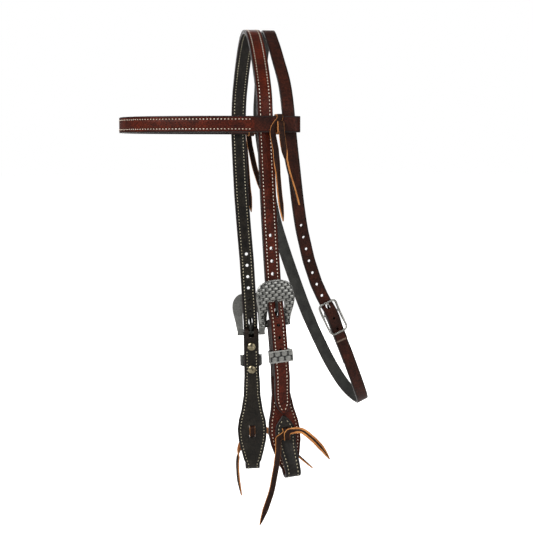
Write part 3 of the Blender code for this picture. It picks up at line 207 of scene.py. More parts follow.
ARCH_SHARES = (
    (0.0, 0.0), (0.221, 0.039), (0.419, 0.156), (0.616, 0.333), (0.802, 0.55), (0.942, 0.767),
    (1.0, 1.0))
NEAR_SWEEP_SHARES = (
    (0.305, 0.0), (0.369, 0.039), (0.616, 0.155), (0.83, 0.279), (0.958, 0.396), (1.043, 0.481),
    (1.084, 0.519), (1.22, 0.63), (1.361, 0.756), (1.524, 1.0))
OFF_SWEEP_SHARES = (
    (0.275, 0.0), (0.327, 0.01), (0.581, 0.272), (0.718, 0.551), (0.849, 0.709), (0.959, 0.861),
    (0.996, 0.885), (1.167, 0.943), (1.332, 0.955), (1.473, 1.0))
POINT_SHARES = ((0.0, 1.0), (0.3, 0.95), (0.55, 0.8), (0.75, 0.6), (0.9, 0.37), (1.0, 0.12))
GRAIN, EDGE, FLESH, PLAIN = 0, 1, 2, 3

LEG_PLANE = 1.0 * MM
BAR_PLAY = 0.4 * MM
FOLD_INNER = BAR_RADIUS + BAR_PLAY
FOLD_MID = FOLD_INNER + CHEEK_THICKNESS / 2
CHEEK_HALF_GAP = KEEPER_PLATE / 2 + CLEARANCE
CHEEK_MID = CHEEK_HALF_GAP + CHEEK_THICKNESS / 2
BILLET_OVER_BAR = FOLD_INNER + CHEEK_THICKNESS + CLEARANCE
BILLET_OVER_FOLD = CHEEK_HALF_GAP + CHEEK_THICKNESS + CLEARANCE
BILLET_ON_CHEEK = -CHEEK_HALF_GAP + CLEARANCE


def unit(vector):
    vector = np.asarray(vector, dtype=float)
    return vector / np.linalg.norm(vector)


def lengths_along(path):
    steps = np.linalg.norm(np.diff(path, axis=0), axis=1)
    return np.concatenate([[0.0], np.cumsum(steps)])


def from_table(table, at, unit_in=1.0, unit_out=1.0):
    """Value read between the rows of a table, whose pairs are shares of two lengths."""
    return float(np.interp(at, [row[0] * unit_in for row in table], [row[1] * unit_out for row in table]))


def curve_through(rows, knots, at):
    """Smooth curve through rows of numbers that belong to rising knots."""
    slopes = np.gradient(rows, knots, axis=0)
    index = np.clip(np.searchsorted(knots, at, side="right") - 1, 0, len(knots) - 2)
    width = (knots[index + 1] - knots[index])[:, None]
    share = (at - knots[index])[:, None] / width
    square, cube = share**2, share**3
    return (
        (2 * cube - 3 * square + 1) * rows[index] + (cube - 2 * square + share) * width * slopes[index]
        + (3 * square - 2 * cube) * rows[index + 1] + (cube - square) * width * slopes[index + 1])


def square_up(tangents, across):
    """Unit width directions square to a course, and the directions out of the strap's face."""
    tangents = tangents / np.linalg.norm(tangents, axis=1)[:, None]
    across = across - (across * tangents).sum(axis=1)[:, None] * tangents
    across = across / np.linalg.norm(across, axis=1)[:, None]
    return across, np.cross(tangents, across)


class Run:
    """Even stations of a strap: middle line, width and face directions, half width, length so far."""

    def __init__(self, path, across, halves, step, shoulder=SHOULDER):
        rows = np.column_stack([path, across, halves])
        knots = lengths_along(rows[:, :3])
        extra = []
        for low, high in zip(knots[:-1], knots[1:]):
            if high - low > shoulder * 3:
                extra += [low + shoulder, high - shoulder]
        full = np.sort(np.concatenate([knots, extra]))
        rows = np.stack([np.interp(full, knots, column) for column in rows.T], axis=1)
        at = np.linspace(0.0, full[-1], int(math.ceil(full[-1] / step)) + 1)
        rows = curve_through(rows, full, at)
        self.points = rows[:, :3]
        self.halves = np.maximum(rows[:, 6], NARROWEST_HALF)
        self.at = lengths_along(self.points)
        self.across, self.out = square_up(np.gradient(self.points, axis=0), rows[:, 3:6])

    def read(self, rows, at):
        if rows.ndim == 1:
            return float(np.interp(at, self.at, rows))
        return np.array([np.interp(at, self.at, column) for column in rows.T])

    def nearest(self, point):
        """Length along the run that is nearest to a point."""
        return float(self.at[np.argmin(np.linalg.norm(self.points - np.asarray(point), axis=1))])

    def place(self, at, side, level):
        spot, across, out = (self.read(rows, at) for rows in (self.points, self.across, self.out))
        return spot + across * side + out * level


def skin(rings, place, at, closed=False, cap=EDGE):
    """Skin over rings of (across, out, mark, finish); place(i, across, out) gives a point of ring i.

    The map called run holds the length along the strap and the mark of each point, in millimetres.
    """
    sides = len(rings[0])
    turns = len(rings) if closed else len(rings) - 1
    at = [*at, 2 * at[-1] - at[-2]]
    mesh = bmesh.new()
    bmesh.ops.create_grid(mesh, x_segments=turns, y_segments=sides, size=1.0)
    marks = mesh.loops.layers.uv.new("run")
    spot = {v: (round((v.co.x + 1) / 2 * turns), round((v.co.y + 1) / 2 * sides)) for v in mesh.verts}
    for vertex, (i, j) in spot.items():
        i, j = i % len(rings), j % sides
        vertex.co = Vector(place(i, *rings[i][j][:2]))
    for face in mesh.faces:
        i, j = (min(spot[v][axis] for v in face.verts) for axis in (0, 1))
        face.material_index = rings[i][j][3]
        face.smooth = True
        for loop in face.loops:
            i, j = spot[loop.vert]
            loop[marks].uv = (at[i] / MM, rings[i % len(rings)][j % sides][2] / MM)
    bmesh.ops.remove_doubles(mesh, verts=mesh.verts, dist=WELD)
    if not closed:
        rims = [edge for edge in mesh.edges if edge.is_boundary]
        for face in bmesh.ops.holes_fill(mesh, edges=rims, sides=0)["faces"]:
            face.material_index = cap
    bmesh.ops.recalc_face_normals(mesh, faces=mesh.faces)
    return mesh


def carried(run, ring, closed=False):
    """Skin of a section carried along a run; ring(i) is the section at station i."""

    def place(i, side, out):
        return run.points[i] + run.across[i] * side + run.out[i] * out

    return skin([ring(i) for i in range(len(run.points))], place, run.at, closed)


def piece(name, mesh, finishes, body, *nodes, sharp=50.0):
    """Object of a mesh with its finishes, riding a body and standing in for CAD nodes, which it hides."""
    data = bpy.data.meshes.new(name)
    mesh.to_mesh(data)
    mesh.free()
    for finish in finishes:
        data.materials.append(finish)
    data.set_sharp_from_angle(angle=math.radians(sharp))
    made = bpy.data.objects.new(name, data)
    scene.collection.objects.link(made)
    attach(made, body)
    if nodes:
        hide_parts(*nodes)


def punch(mesh, cutter):
    """Cut the closed shapes of one mesh out of another; the cut walls get the edge finish."""
    scratch = []
    for source in (mesh, cutter):
        data = bpy.data.meshes.new("scratch")
        if source is cutter:
            for face in source.faces:
                face.material_index = EDGE
        source.to_mesh(data)
        source.free()
        made = bpy.data.objects.new("scratch", data)
        scene.collection.objects.link(made)
        scratch.append(made)
    change = scratch[0].modifiers.new("holes", "BOOLEAN")
    change.operation = "DIFFERENCE"
    change.solver = "MANIFOLD"
    change.object = scratch[1]
    view = bpy.context.evaluated_depsgraph_get()
    cut = bmesh.new()
    cut.from_mesh(scratch[0].evaluated_get(view).to_mesh())
    for made in scratch:
        data = made.data
        bpy.data.objects.remove(made)
        bpy.data.meshes.remove(data)
    return cut


def turned_to(centre, axis, along, sizes):
    """Matrix of a unit shape with its Z on an axis and its X along a direction, scaled by three sizes."""
    axis = Vector(axis).normalized()
    first = Vector(along)
    first = (first - axis * first.dot(axis)).normalized()
    turn = Matrix((first, axis.cross(first), axis)).transposed().to_4x4()
    return Matrix.Translation(Vector(centre)) @ turn @ Matrix.Diagonal((*sizes, 1.0))


def rod(mesh, centre, axis, along, sizes, segments=24):
    """Add a round or oval rod: its two radii and its length on the axis."""
    matrix = turned_to(centre, axis, along, sizes)
    bmesh.ops.create_cone(
        mesh, cap_ends=True, segments=segments, radius1=1.0, radius2=1.0, depth=1.0, matrix=matrix)


def ply(run, low, high, grain, seam=None):
    """Section of one leather ply between two levels, grooved for stitches along its seam."""

    def ring(i):
        half = run.halves[i]
        soft = min(EDGE_ROUND, half * 0.4, (high - low) * 0.4)
        small = soft * 0.5
        inset = min(STITCH_INSET, half * 0.42)
        wide = min(GROOVE_HALF_WIDTH, inset * 0.3)
        row = half - inset
        sewn = seam is not None and seam[0] <= run.at[i] <= seam[1]
        sunk = high - (GROOVE_DEPTH if sewn else 0.0)
        face = GRAIN if sewn or seam is None else PLAIN
        edge = [(half - small, low), (half, low + small), (half, high - soft),
                (half - soft * 0.3, high - soft * 0.3)]
        top = [(half - soft, high), (row + wide, high), (row + wide * 0.4, sunk),
               (row - wide * 0.4, sunk), (row - wide, high), (half * 0.2, high)]
        points = [(a, n, EDGE) for a, n in edge] + [(a, n, face) for a, n in top]
        points += [(-a, n, face) for a, n in reversed(top)]
        points += [(-a, n, EDGE) for a, n in reversed(edge)]
        points[-len(edge) - 1] = (*points[-len(edge) - 1][:2], EDGE)
        points[-1] = (*points[-1][:2], FLESH)
        if grain < 0:
            points = [(a, low + high - n, kind) for a, n, kind in points]
        return [(a, n, half - abs(a), kind) for a, n, kind in points]

    return ring


def sew(name, run, level, seam, thread, body):
    """Two rows of short plump stitches on one face of a strap; level: the face and the way it looks."""
    mesh = bmesh.new()
    for side in (-1.0, 1.0):
        for at in np.arange(seam[0] + STITCH_PITCH / 2, seam[1], STITCH_PITCH):
            if run.read(run.halves, at) - STITCH_INSET < STITCH_WIDTH * 1.2:
                continue
            start, end = (
                run.place(spot, side * (run.read(run.halves, spot) - STITCH_INSET), level[0])
                for spot in (at - STITCH_LENGTH / 2, at + STITCH_LENGTH / 2))
            sizes = (float(np.linalg.norm(end - start)) / 2, STITCH_WIDTH / 2, STITCH_HEIGHT)
            matrix = turned_to((start + end) / 2, run.read(run.out, at) * level[1], end - start, sizes)
            bmesh.ops.create_uvsphere(mesh, u_segments=6, v_segments=4, radius=1.0, matrix=matrix)
    for face in mesh.faces:
        face.smooth = True
    piece(name, mesh, [thread], body, sharp=180.0)


class Finish:
    """A material in the making: each method adds a node and hands back the socket of its result."""

    def __init__(self, name):
        self.made, self.tree, self.shader = new_material(name)
        self.place = node(self.tree, "TexCoord").outputs["Object"]

    def noise(self, size, detail, roughness=0.5):
        inputs = {"Vector": self.place, "Scale": 1 / size, "Detail": detail, "Roughness": roughness}
        return node(self.tree, "TexNoise", inputs).outputs[0]

    def run_marks(self):
        """Length along a run and second mark, as the skin's own map holds them."""
        marks = node(self.tree, "UVMap", uv_map="run").outputs[0]
        return node(self.tree, "SeparateXYZ", {0: marks}).outputs[:2]

    def calc(self, operation, *values):
        return node(self.tree, "Math", dict(enumerate(values)), operation=operation).outputs[0]

    def ranged(self, value, low, high, bottom=0.0, top=1.0):
        inputs = {"Value": value, "From Min": low, "From Max": high, "To Min": bottom, "To Max": top}
        return node(self.tree, "MapRange", inputs).outputs[0]

    def mixed(self, share, first, second, **settings):
        """Mix of two colours, each a hex code or a socket."""
        first, second = (colour(c) if isinstance(c, str) else c for c in (first, second))
        inputs = {0: share, 6: first, 7: second}
        return node(self.tree, "Mix", inputs, data_type="RGBA", **settings).outputs[2]

    def dress(self, base, roughness, relief, strength, depth, **more):
        """Finished material: colour, roughness, and the relief of a height of given depth."""
        bump = node(self.tree, "Bump", {"Height": relief, "Strength": strength, "Distance": depth})
        inputs = {"Base Color": base, "Roughness": roughness, "Normal": bump.outputs[0]}
        feed(self.tree, self.shader, {**inputs, **more})
        return self.made


def bridle_leather(name, face, deep, edge, shine=0.42, stitched=True, specular=0.14):
    """Drum-dyed bridle leather: fine pores, a cloudy dye, darker burnished edges, and painted shade in the
    stitch grooves and at the sewing holes.
    """
    hide = Finish(name)
    along, inset = hide.run_marks()
    clouds = hide.noise(14 * MM, 5.0, 0.6)
    grain = hide.noise(1.7 * MM, 3.0, 0.7)
    fibres = hide.noise(0.35 * MM, 3.0)
    pores = node(hide.tree, "TexVoronoi", {"Vector": hide.place, "Scale": 1 / (1.1 * MM)}).outputs["Distance"]
    dyed = hide.mixed(hide.ranged(clouds, 0.3, 0.7), deep, face)
    speck = hide.ranged(pores, 0.0, 0.5, 0.5, 1.1)
    blotch = hide.ranged(grain, 0.36, 0.64, 0.45, 1.35)
    grained = hide.mixed(1.0, dyed, hide.calc("MULTIPLY", speck, blotch), blend_type="MULTIPLY")
    near_edge = hide.ranged(inset, 0.5, 1.9, 1.0, 0.0)
    base = hide.mixed(near_edge, grained, edge)
    # Painted shade: the colour runs toward the dark edge colour along the stitch grooves, most at each awl
    # hole.
    if stitched:
        off_row = hide.calc("ABSOLUTE", hide.calc("SUBTRACT", inset, STITCH_INSET / MM))
        groove_shade = hide.ranged(off_row, 0.3, 0.8, 1.0, 0.0)
        turn = hide.calc("FRACT", hide.calc("DIVIDE", along, STITCH_PITCH / MM))
        turn = hide.calc("ABSOLUTE", hide.calc("SUBTRACT", turn, 0.5))
        awl_hole_shade = hide.calc("MULTIPLY_ADD", hide.ranged(turn, 0.36, 0.46), 0.5, 0.35)
        base = hide.mixed(hide.calc("MULTIPLY", groove_shade, awl_hole_shade), base, edge)
    wear = hide.ranged(clouds, 0.3, 0.7, shine + 0.1, shine - 0.05)
    gloss = node(hide.tree, "Mix", {0: near_edge, 2: wear, 3: shine - 0.08}).outputs[0]
    relief = hide.calc("MULTIPLY_ADD", pores, 0.7, fibres)
    return hide.dress(base, gloss, relief, 0.35, 0.12 * MM, **{"Specular IOR Level": specular})


def flesh_side(name, face, deep):
    """Flesh side of leather, pasted down smooth: fibrous and matt."""
    flesh = Finish(name)
    nap = flesh.noise(0.9 * MM, 6.0, 0.7)
    blend = flesh.ranged(flesh.calc("MULTIPLY", nap, flesh.noise(9 * MM, 3.0)), 0.15, 0.38)
    rough = flesh.ranged(nap, 0.0, 1.0, 0.7, 0.95)
    return flesh.dress(flesh.mixed(blend, deep, face), rough, nap, 0.5, 0.15 * MM)


def burnished_edge(name, face, deep):
    """Cut leather edge, stained and rubbed with wax until the fibres close."""
    cut = Finish(name)
    streaks = cut.noise(1.2 * MM, 4.0)
    base = cut.mixed(cut.ranged(streaks, 0.35, 0.65), deep, face)
    return cut.dress(base, cut.ranged(streaks, 0.0, 1.0, 0.3, 0.5), streaks, 0.3, 0.1 * MM)


def thread_finish(name, face, deep):
    """Waxed white thread, greyed a little by handling, with the ply twist as fine ridges."""
    thread = Finish(name)
    base = thread.mixed(thread.ranged(thread.noise(25 * MM, 2.0), 0.35, 0.65), deep, face)
    return thread.dress(base, 0.55, thread.noise(0.3 * MM, 2.0), 0.4, 0.1 * MM)


brown_grain = bridle_leather("chestnut_bridle_leather", "#592011", "#331108", "#120604")
plain_brown = bridle_leather("chestnut_unsewn_leather", "#431b10", "#26100a", "#100604", stitched=False)
black_grain = bridle_leather(
    "black_lining_leather", "#29251f", "#0d0b09", "#060505", shine=0.36, specular=0.2)
plain_black = bridle_leather(
    "black_unsewn_leather", "#2b201a", "#0f0b09", "#060505", shine=0.38, stitched=False, specular=0.2)
dark_edge = burnished_edge("burnished_edge", "#2b1510", "#120908")
raw_side = flesh_side("pasted_flesh_side", "#2f2f2b", "#161513")
waxed_thread = thread_finish("white_waxed_thread", "#efe4d4", "#d0bca6")
# The second rows of stitches use a darker copy of the same white thread, as painted shade.
shaded_inside_thread = thread_finish("inside_thread_painted_shade", "#cdc3a8", "#a0967c")
brown_ply = [brown_grain, dark_edge, raw_side, plain_brown]
black_ply = [black_grain, dark_edge, raw_side, plain_black]


class Leg:
    """Local directions of one side: up along the strap, back across it, out from the head."""

    def __init__(self, side, bar_drop, sweep, sweep_shares):
        self.side = side
        self.label = "near" if side > 0 else "off"
        self.bar_drop = bar_drop
        self.sweep = sweep
        self.sweep_shares = sweep_shares
        outward = np.array([side * math.cos(LEG_YAW), math.sin(LEG_YAW), 0.0])
        low = bar_drop + BIT_FOLD_DROP / 2
        high = bar_drop - FRAME_RISE
        lean = self.sweep_at(low) - self.sweep_at(high)
        self.up = unit([0.0, -lean, low - high])
        self.out = unit(outward - self.up * outward.dot(self.up))
        self.back = np.cross(self.up, self.out) * side
        surface = np.array([side * HEAD_HALF_WIDTH, self.sweep_at(bar_drop), CROWN_THICKNESS - bar_drop])
        self.bar = surface - self.out * (LEG_PLANE + CROWN_THICKNESS)

    def sweep_at(self, drop):
        return from_table(self.sweep_shares, drop, self.bar_drop, self.sweep)

    def bend(self, rise):
        """How far the strap's curve lies from its straight middle line at a height over the bar."""
        level = self.bar_drop - rise
        straight = self.sweep_at(self.bar_drop) + (level - self.bar_drop) * (-self.up[1] / self.up[2])
        return self.sweep_at(level) - straight

    def place(self, rise, across, out, bent=True):
        shift = self.bend(rise) if bent else 0.0
        return self.bar + self.up * rise + self.back * (across + shift) + self.out * out


near = Leg(1.0, BAR_DROPS[0], LEG_SWEEPS[0], NEAR_SWEEP_SHARES)
off = Leg(-1.0, BAR_DROPS[1], LEG_SWEEPS[1], OFF_SWEEP_SHARES)
legs = (near, off)

BILLET_LEVELS = (
    (-BILLET_TAIL, BILLET_ON_CHEEK), (-FOLD_OUT_LENGTH - BILLET_POINT * 1.4, BILLET_ON_CHEEK),
    (-FOLD_OUT_LENGTH - 0.9 * MM, BILLET_OVER_FOLD), (-UPPER_SCREW_DROP, BILLET_OVER_FOLD),
    (-BAR_RADIUS * 3, BILLET_OVER_BAR), (BAR_RADIUS * 2, BILLET_OVER_BAR),
    (WINDOW_RISE, LEG_PLANE + CLEARANCE * 2), (FRAME_RISE * 0.7, LEG_PLANE), (FRAME_RISE, LEG_PLANE))


def billet_out(rise):
    """Inner face of the billet over the bar, the cheek's fold and the cheek."""
    return from_table(BILLET_LEVELS, rise)


def leg_rows(leg):
    """Stations of the crown strap from the point of one billet up to its arch."""
    rows = []
    for share, width in reversed(POINT_SHARES):
        rise = -BILLET_TAIL + BILLET_POINT * (1.0 - share)
        rows.append((leg.place(rise, 0.0, billet_out(rise)), leg.back, STRAP_WIDTH / 2 * width))
    middle = -FOLD_OUT_LENGTH - BILLET_POINT * 0.7
    rises = sorted([row[0] for row in BILLET_LEVELS[1:]] + [middle, -KEEPER_DROP, TONGUE_HOLE_RISE])
    top = leg.bar_drop - ARCH_DROP * 1.12
    rises += [FRAME_RISE + (top - FRAME_RISE) * share for share in (0.2, 0.4, 0.6, 0.8, 1.0)]
    for rise in rises:
        rows.append((leg.place(rise, 0.0, billet_out(rise)), leg.back, STRAP_WIDTH / 2))
    return rows


arch = []
for side in (-1.0, 1.0):
    rows = [(side * x * HEAD_HALF_WIDTH, 0.0, CROWN_THICKNESS - z * ARCH_DROP) for x, z in ARCH_SHARES]
    arch += rows[::-1] if side < 0 else rows[1:]
arch = np.array(arch)
arch_knots = lengths_along(arch)
arch = curve_through(arch, arch_knots, np.linspace(0.0, arch_knots[-1], 61))
arch_run = Run(arch, [(0.0, 1.0, 0.0)] * len(arch), [STRAP_WIDTH / 2] * len(arch), ARCH_STEP)
over = arch_run.points - arch_run.out * CROWN_THICKNESS
turns = LEG_YAW * np.clip(over[:, 0] / HEAD_HALF_WIDTH, -1.0, 1.0)
over_rows = [(p, (-math.sin(t), math.cos(t), 0.0), STRAP_WIDTH / 2) for p, t in zip(over, turns)]
rows = leg_rows(off) + over_rows + leg_rows(near)[::-1]
crown_run = Run(*zip(*rows), CROWN_STEP)


def billet_holes():
    """Cutter for the punched holes of both billets; the hole in use is drawn out to an oval."""
    cutter = bmesh.new()
    for leg in legs:
        for index in range(HOLE_COUNT):
            rise = TONGUE_HOLE_RISE + (HOLE_IN_USE - 1 - index) * HOLE_PITCH
            centre = leg.place(rise, 0.0, billet_out(rise) + CROWN_THICKNESS / 2)
            radii = (HOLE_RADIUS, HOLE_RADIUS)
            if index == HOLE_IN_USE - 1:
                radii = (WORN_HOLE_RADIUS + WORN_HOLE_STRETCH / 2, WORN_HOLE_RADIUS)
            rod(cutter, centre, leg.out, leg.up, (*radii, CROWN_THICKNESS * 2), HOLE_SIDES)
    return cutter


crown_seam = (0.0, crown_run.at[-1])
top = carried(crown_run, ply(crown_run, LEATHER + PLY_GAP, CROWN_THICKNESS, 1, crown_seam))
piece("crown_leather", punch(top, billet_holes()), brown_ply, "headstall", "crown_strap")
under = carried(crown_run, ply(crown_run, 0.0, LEATHER, -1, crown_seam))
piece("crown_lining_leather", punch(under, billet_holes()), black_ply, "headstall", "crown_lining")
sew("crown_stitches_outside", crown_run, (CROWN_THICKNESS, 1.0), crown_seam, waxed_thread, "headstall")
sew("crown_stitches_inside", crown_run, (0.0, -1.0), crown_seam, shaded_inside_thread, "headstall")

# Browband
# The same doubled and sewn strap across the forehead. Its outer ply runs on past the lining,
# plain, and folds back inside both the crown strap and the throatlatch.

BAND_DROP = 98.5 * MM
BAND_HALF_WIDTH = 91.5 * MM
BAND_REACH = 136.0 * MM
BAND_ROUNDNESS = 2.25
BAND_LOOP_REACH = 35.4 * MM
BAND_LINING_END = 12.0 * MM
BAND_RETURN_END = 11.0 * MM
BAND_LOOP_GAP = 9.4 * MM
BAND_STEP = 1.8 * MM
BAND_LEVEL = CROWN_THICKNESS - BAND_DROP


def even_steps(path, count):
    """Points at even steps along a path."""
    at = lengths_along(path)
    spots = np.linspace(0.0, at[-1], count)
    return np.stack([np.interp(spots, at, column) for column in path.T], axis=1)


def band_front():
    """Front of the band's plan outline, a flattened oval, as far back as the lining goes."""
    turn = np.linspace(-math.pi / 2, math.pi / 2, 721)
    power = 2.0 / BAND_ROUNDNESS
    x = np.sign(np.sin(turn)) * np.abs(np.sin(turn)) ** power * BAND_HALF_WIDTH
    y = -np.abs(np.cos(turn)) ** power * BAND_REACH
    outline = np.stack([x, y, np.full(len(turn), BAND_LEVEL)], axis=1)
    return even_steps(outline[outline[:, 1] <= -BAND_LINING_END], 91)


front = band_front()
fold_radius = (BAND_LOOP_GAP + 2 * LEATHER) / 2
fold_y = BAND_LOOP_REACH - fold_radius
inner_x = BAND_HALF_WIDTH - 2 * fold_radius
loop_end = [(BAND_HALF_WIDTH, 0.0, BAND_LEVEL), (BAND_HALF_WIDTH, fold_y * 0.5, BAND_LEVEL)]
for turn in np.linspace(0.0, math.pi, 17):
    x = BAND_HALF_WIDTH - fold_radius + math.cos(turn) * fold_radius
    loop_end.append((x, fold_y + math.sin(turn) * fold_radius, BAND_LEVEL))
loop_end += [(inner_x, y, BAND_LEVEL) for y in (fold_y * 0.5, 0.0, -BAND_RETURN_END)]
loop_end = np.array(loop_end)
band_path = np.concatenate([loop_end[::-1] * (-1.0, 1.0, 1.0), front, loop_end])
upright = (0.0, 0.0, 1.0)
band_run = Run(band_path, [upright] * len(band_path), [STRAP_WIDTH / 2] * len(band_path), BAND_STEP)
lining_run = Run(front, [upright] * len(front), [STRAP_WIDTH / 2] * len(front), BAND_STEP)

lining_low, lining_high = -2 * LEATHER - PLY_GAP, -LEATHER - PLY_GAP
band_seam = (band_run.nearest(front[0]), band_run.nearest(front[-1]))
lining_seam = (0.0, lining_run.at[-1])
band = carried(band_run, ply(band_run, -LEATHER, 0.0, 1, band_seam))
piece("browband_leather", band, brown_ply, "browband", "browband")
lining = carried(lining_run, ply(lining_run, lining_low, lining_high, -1, lining_seam))
piece("browband_lining_leather", lining, black_ply, "browband", "browband_lining")
sew("browband_stitches_outside", band_run, (0.0, 1.0), band_seam, waxed_thread, "browband")
sew("browband_stitches_inside", lining_run, (lining_low, -1.0), lining_seam, shaded_inside_thread, "browband")

# Throatlatch
# One single strap of dark harness leather with its flesh side inwards: punched billet, loop over
# the poll and round the jaw, and a folded end that holds the buckle.

THROAT_WIDTH = 12.7 * MM
THROAT_LEATHER = 2.2 * MM
THROAT_HOLE_RADIUS = 1.35 * MM
THROAT_WORN_RADIUS = 2.0 * MM
THROAT_WORN_STRETCH = 1.6
THROAT_HOLE_DEPTH = 2.4 * THROAT_LEATHER
THROAT_SLOPE_STEP = 1.1 * MM
THROAT_HOLES_ABOVE = 7
THROAT_HOLES_BELOW = 2
THROAT_WIRE_RADIUS = 1.1 * MM
THROAT_FRAME_LENGTH = 35.5 * MM
THROAT_FRAME_WIDTH = 20.5 * MM
THROAT_FRAME_CORNER = 4.0 * MM
THROAT_BAR_SHARE = 0.38
THROAT_BAR_LIFT = 4.0 * MM
THROAT_HOLE_RISE = 8.2 * MM
THROAT_TONGUE_WIDTH = 2.4 * MM
THROAT_BILLET_PAST_BAR = 31.0 * MM
THROAT_FOLD_LENGTH = 58.0 * MM
THROAT_DEPTH = 391.0 * MM
THROAT_REACH = 120.2 * MM
LOOSE = 0.9 * MM
THROAT_STEP = 1.7 * MM
THROAT_SHARES = (
    (0.737, 0.598, 0.738), (0.72, 0.67, 0.79), (0.67, 0.755, 0.85), (0.6, 0.81, 0.888),
    (0.465, 0.89, 0.941), (0.25, 0.965, 0.985), (0.0, 1.0, 1.0), (-0.25, 0.98, 0.997),
    (-0.465, 0.93, 0.978), (-0.605, 0.831, 0.926), (-0.698, 0.725, 0.857), (-0.733, 0.596, 0.765),
    (-0.744, 0.515, 0.698), (-0.767, 0.412, 0.606), (-0.849, 0.333, 0.519), (-0.94, 0.255, 0.37),
    (-0.985, 0.206, 0.26), (-0.98, 0.193, 0.215), (-0.84, 0.185, 0.153), (-0.58, 0.165, 0.087),
    (-0.3, 0.154, 0.035), (0.0, 0.151, 0.003), (0.3, 0.154, 0.035), (0.58, 0.165, 0.087),
    (0.84, 0.185, 0.153), (0.98, 0.193, 0.215), (0.985, 0.206, 0.26), (0.93, 0.25, 0.36),
    (0.872, 0.3, 0.467), (0.82, 0.335, 0.52), (0.78, 0.37, 0.56), (0.762, 0.4, 0.595),
    (0.748, 0.445, 0.64), (0.744, 0.505, 0.683))


class Loop:
    """Closed course of the throatlatch, measured from its buckle bar down and round the jaw."""

    def __init__(self):
        rows = np.array(THROAT_SHARES)
        height = CROWN_THICKNESS - rows[:, 2] * THROAT_DEPTH
        points = np.stack([rows[:, 0] * HEAD_HALF_WIDTH, rows[:, 1] * THROAT_REACH, height], axis=1)
        ring = np.concatenate([points[-3:], points, points[:4]])
        knots = lengths_along(ring)
        self.points = curve_through(ring, knots, np.linspace(knots[3], knots[-4], 721))
        self.at = lengths_along(self.points)
        self.length = float(self.at[-1])
        tangents = np.gradient(self.points, axis=0)
        tangents[0] = tangents[-1] = self.points[1] - self.points[-2]
        self.tangents = tangents / np.linalg.norm(tangents, axis=1)[:, None]
        keys = [CROWN_THICKNESS - THROAT_DEPTH * share for share in (1.0, 0.7, 0.2)] + [0.0]
        lean = np.interp(self.points[:, 2], keys, [math.radians(a) for a in (26.0, 24.0, 6.0, 0.0)])
        self.sides = np.stack([np.zeros_like(lean), np.cos(lean), np.sin(lean)], axis=1)

    def read(self, rows, at):
        at = at % self.length
        return np.array([np.interp(at, self.at, rows[:, axis]) for axis in range(3)])

    def frame(self, at):
        tangent = unit(self.read(self.tangents, at))
        side = self.read(self.sides, at)
        side = unit(side - tangent * side.dot(tangent))
        return tangent, side, np.cross(tangent, side)

    def place(self, at, out):
        return self.read(self.points, at) + self.frame(at)[2] * out


THROAT_FOLD_MID = THROAT_WIRE_RADIUS + BAR_PLAY + THROAT_LEATHER / 2
THROAT_TOP_BAR = (THROAT_FRAME_LENGTH - 2 * THROAT_WIRE_RADIUS) * THROAT_BAR_SHARE
THROAT_LOW_BAR = THROAT_FRAME_LENGTH - 2 * THROAT_WIRE_RADIUS - THROAT_TOP_BAR
THROAT_BILLET_OVER = THROAT_FOLD_MID + THROAT_LEATHER + CLEARANCE
THROAT_BILLET_UNDER = THROAT_BAR_LIFT - THROAT_WIRE_RADIUS - THROAT_LEATHER / 2 - LOOSE
THROAT_LOOP_UNDER = THROAT_BILLET_UNDER - THROAT_LEATHER - CLEARANCE
THROAT_OUTS = (
    (0.0, THROAT_FOLD_MID), (THROAT_WIRE_RADIUS * 2, THROAT_FOLD_MID),
    (THROAT_LOW_BAR * 0.8, THROAT_LOOP_UNDER), (THROAT_BILLET_PAST_BAR + LOOSE, THROAT_LOOP_UNDER),
    (THROAT_FOLD_LENGTH * 1.6, 0.0))
BILLET_OUTS = (
    (-THROAT_FOLD_LENGTH, 0.0), (-THROAT_TOP_BAR * 0.9, THROAT_BILLET_UNDER),
    (-THROAT_WIRE_RADIUS * 2, THROAT_BILLET_OVER), (THROAT_WIRE_RADIUS * 2, THROAT_BILLET_OVER),
    (THROAT_LOW_BAR * 0.8, THROAT_BILLET_UNDER), (THROAT_BILLET_PAST_BAR, THROAT_BILLET_UNDER))

loop = Loop()
down, bar_side, bar_out = loop.frame(0.0)
bar_centre = loop.place(0.0, 0.0)
stations = (
    THROAT_WIRE_RADIUS * 3, THROAT_LOW_BAR * 0.4, THROAT_LOW_BAR * 0.6, THROAT_LOW_BAR * 0.8,
    THROAT_BILLET_PAST_BAR * 0.72, THROAT_BILLET_PAST_BAR * 0.86, THROAT_BILLET_PAST_BAR)
tail = (THROAT_FOLD_LENGTH * 0.68, THROAT_FOLD_LENGTH * 0.84, THROAT_FOLD_LENGTH)
rows = []
for at in reversed(stations + tail):
    under = min(from_table(THROAT_OUTS, at) - THROAT_LEATHER - CLEARANCE, -THROAT_FOLD_MID)
    rows.append((loop.place(at, under), loop.frame(at)[1]))
for turn in np.linspace(0.0, math.pi, ARC_STEPS):
    swing = down * math.sin(turn) + bar_out * math.cos(turn)
    rows.append((bar_centre - swing * THROAT_FOLD_MID, bar_side))
for at in stations + tail + (THROAT_FOLD_LENGTH * 1.3, THROAT_FOLD_LENGTH * 1.6):
    rows.append((loop.place(at, from_table(THROAT_OUTS, at)), loop.frame(at)[1]))
for at in np.linspace(THROAT_FOLD_LENGTH * 1.6, loop.length - THROAT_FOLD_LENGTH, 150)[1:]:
    rows.append((loop.place(at, 0.0), loop.frame(at)[1]))
before = [-THROAT_TOP_BAR * share for share in (2.75, 1.6, 0.9, 0.55)]
for at in before + [-THROAT_WIRE_RADIUS, THROAT_WIRE_RADIUS] + list(stations):
    rows.append((loop.place(loop.length + at, from_table(BILLET_OUTS, at)), loop.frame(loop.length + at)[1]))
throat_run = Run(*zip(*rows), [THROAT_WIDTH / 2] * len(rows), THROAT_STEP)

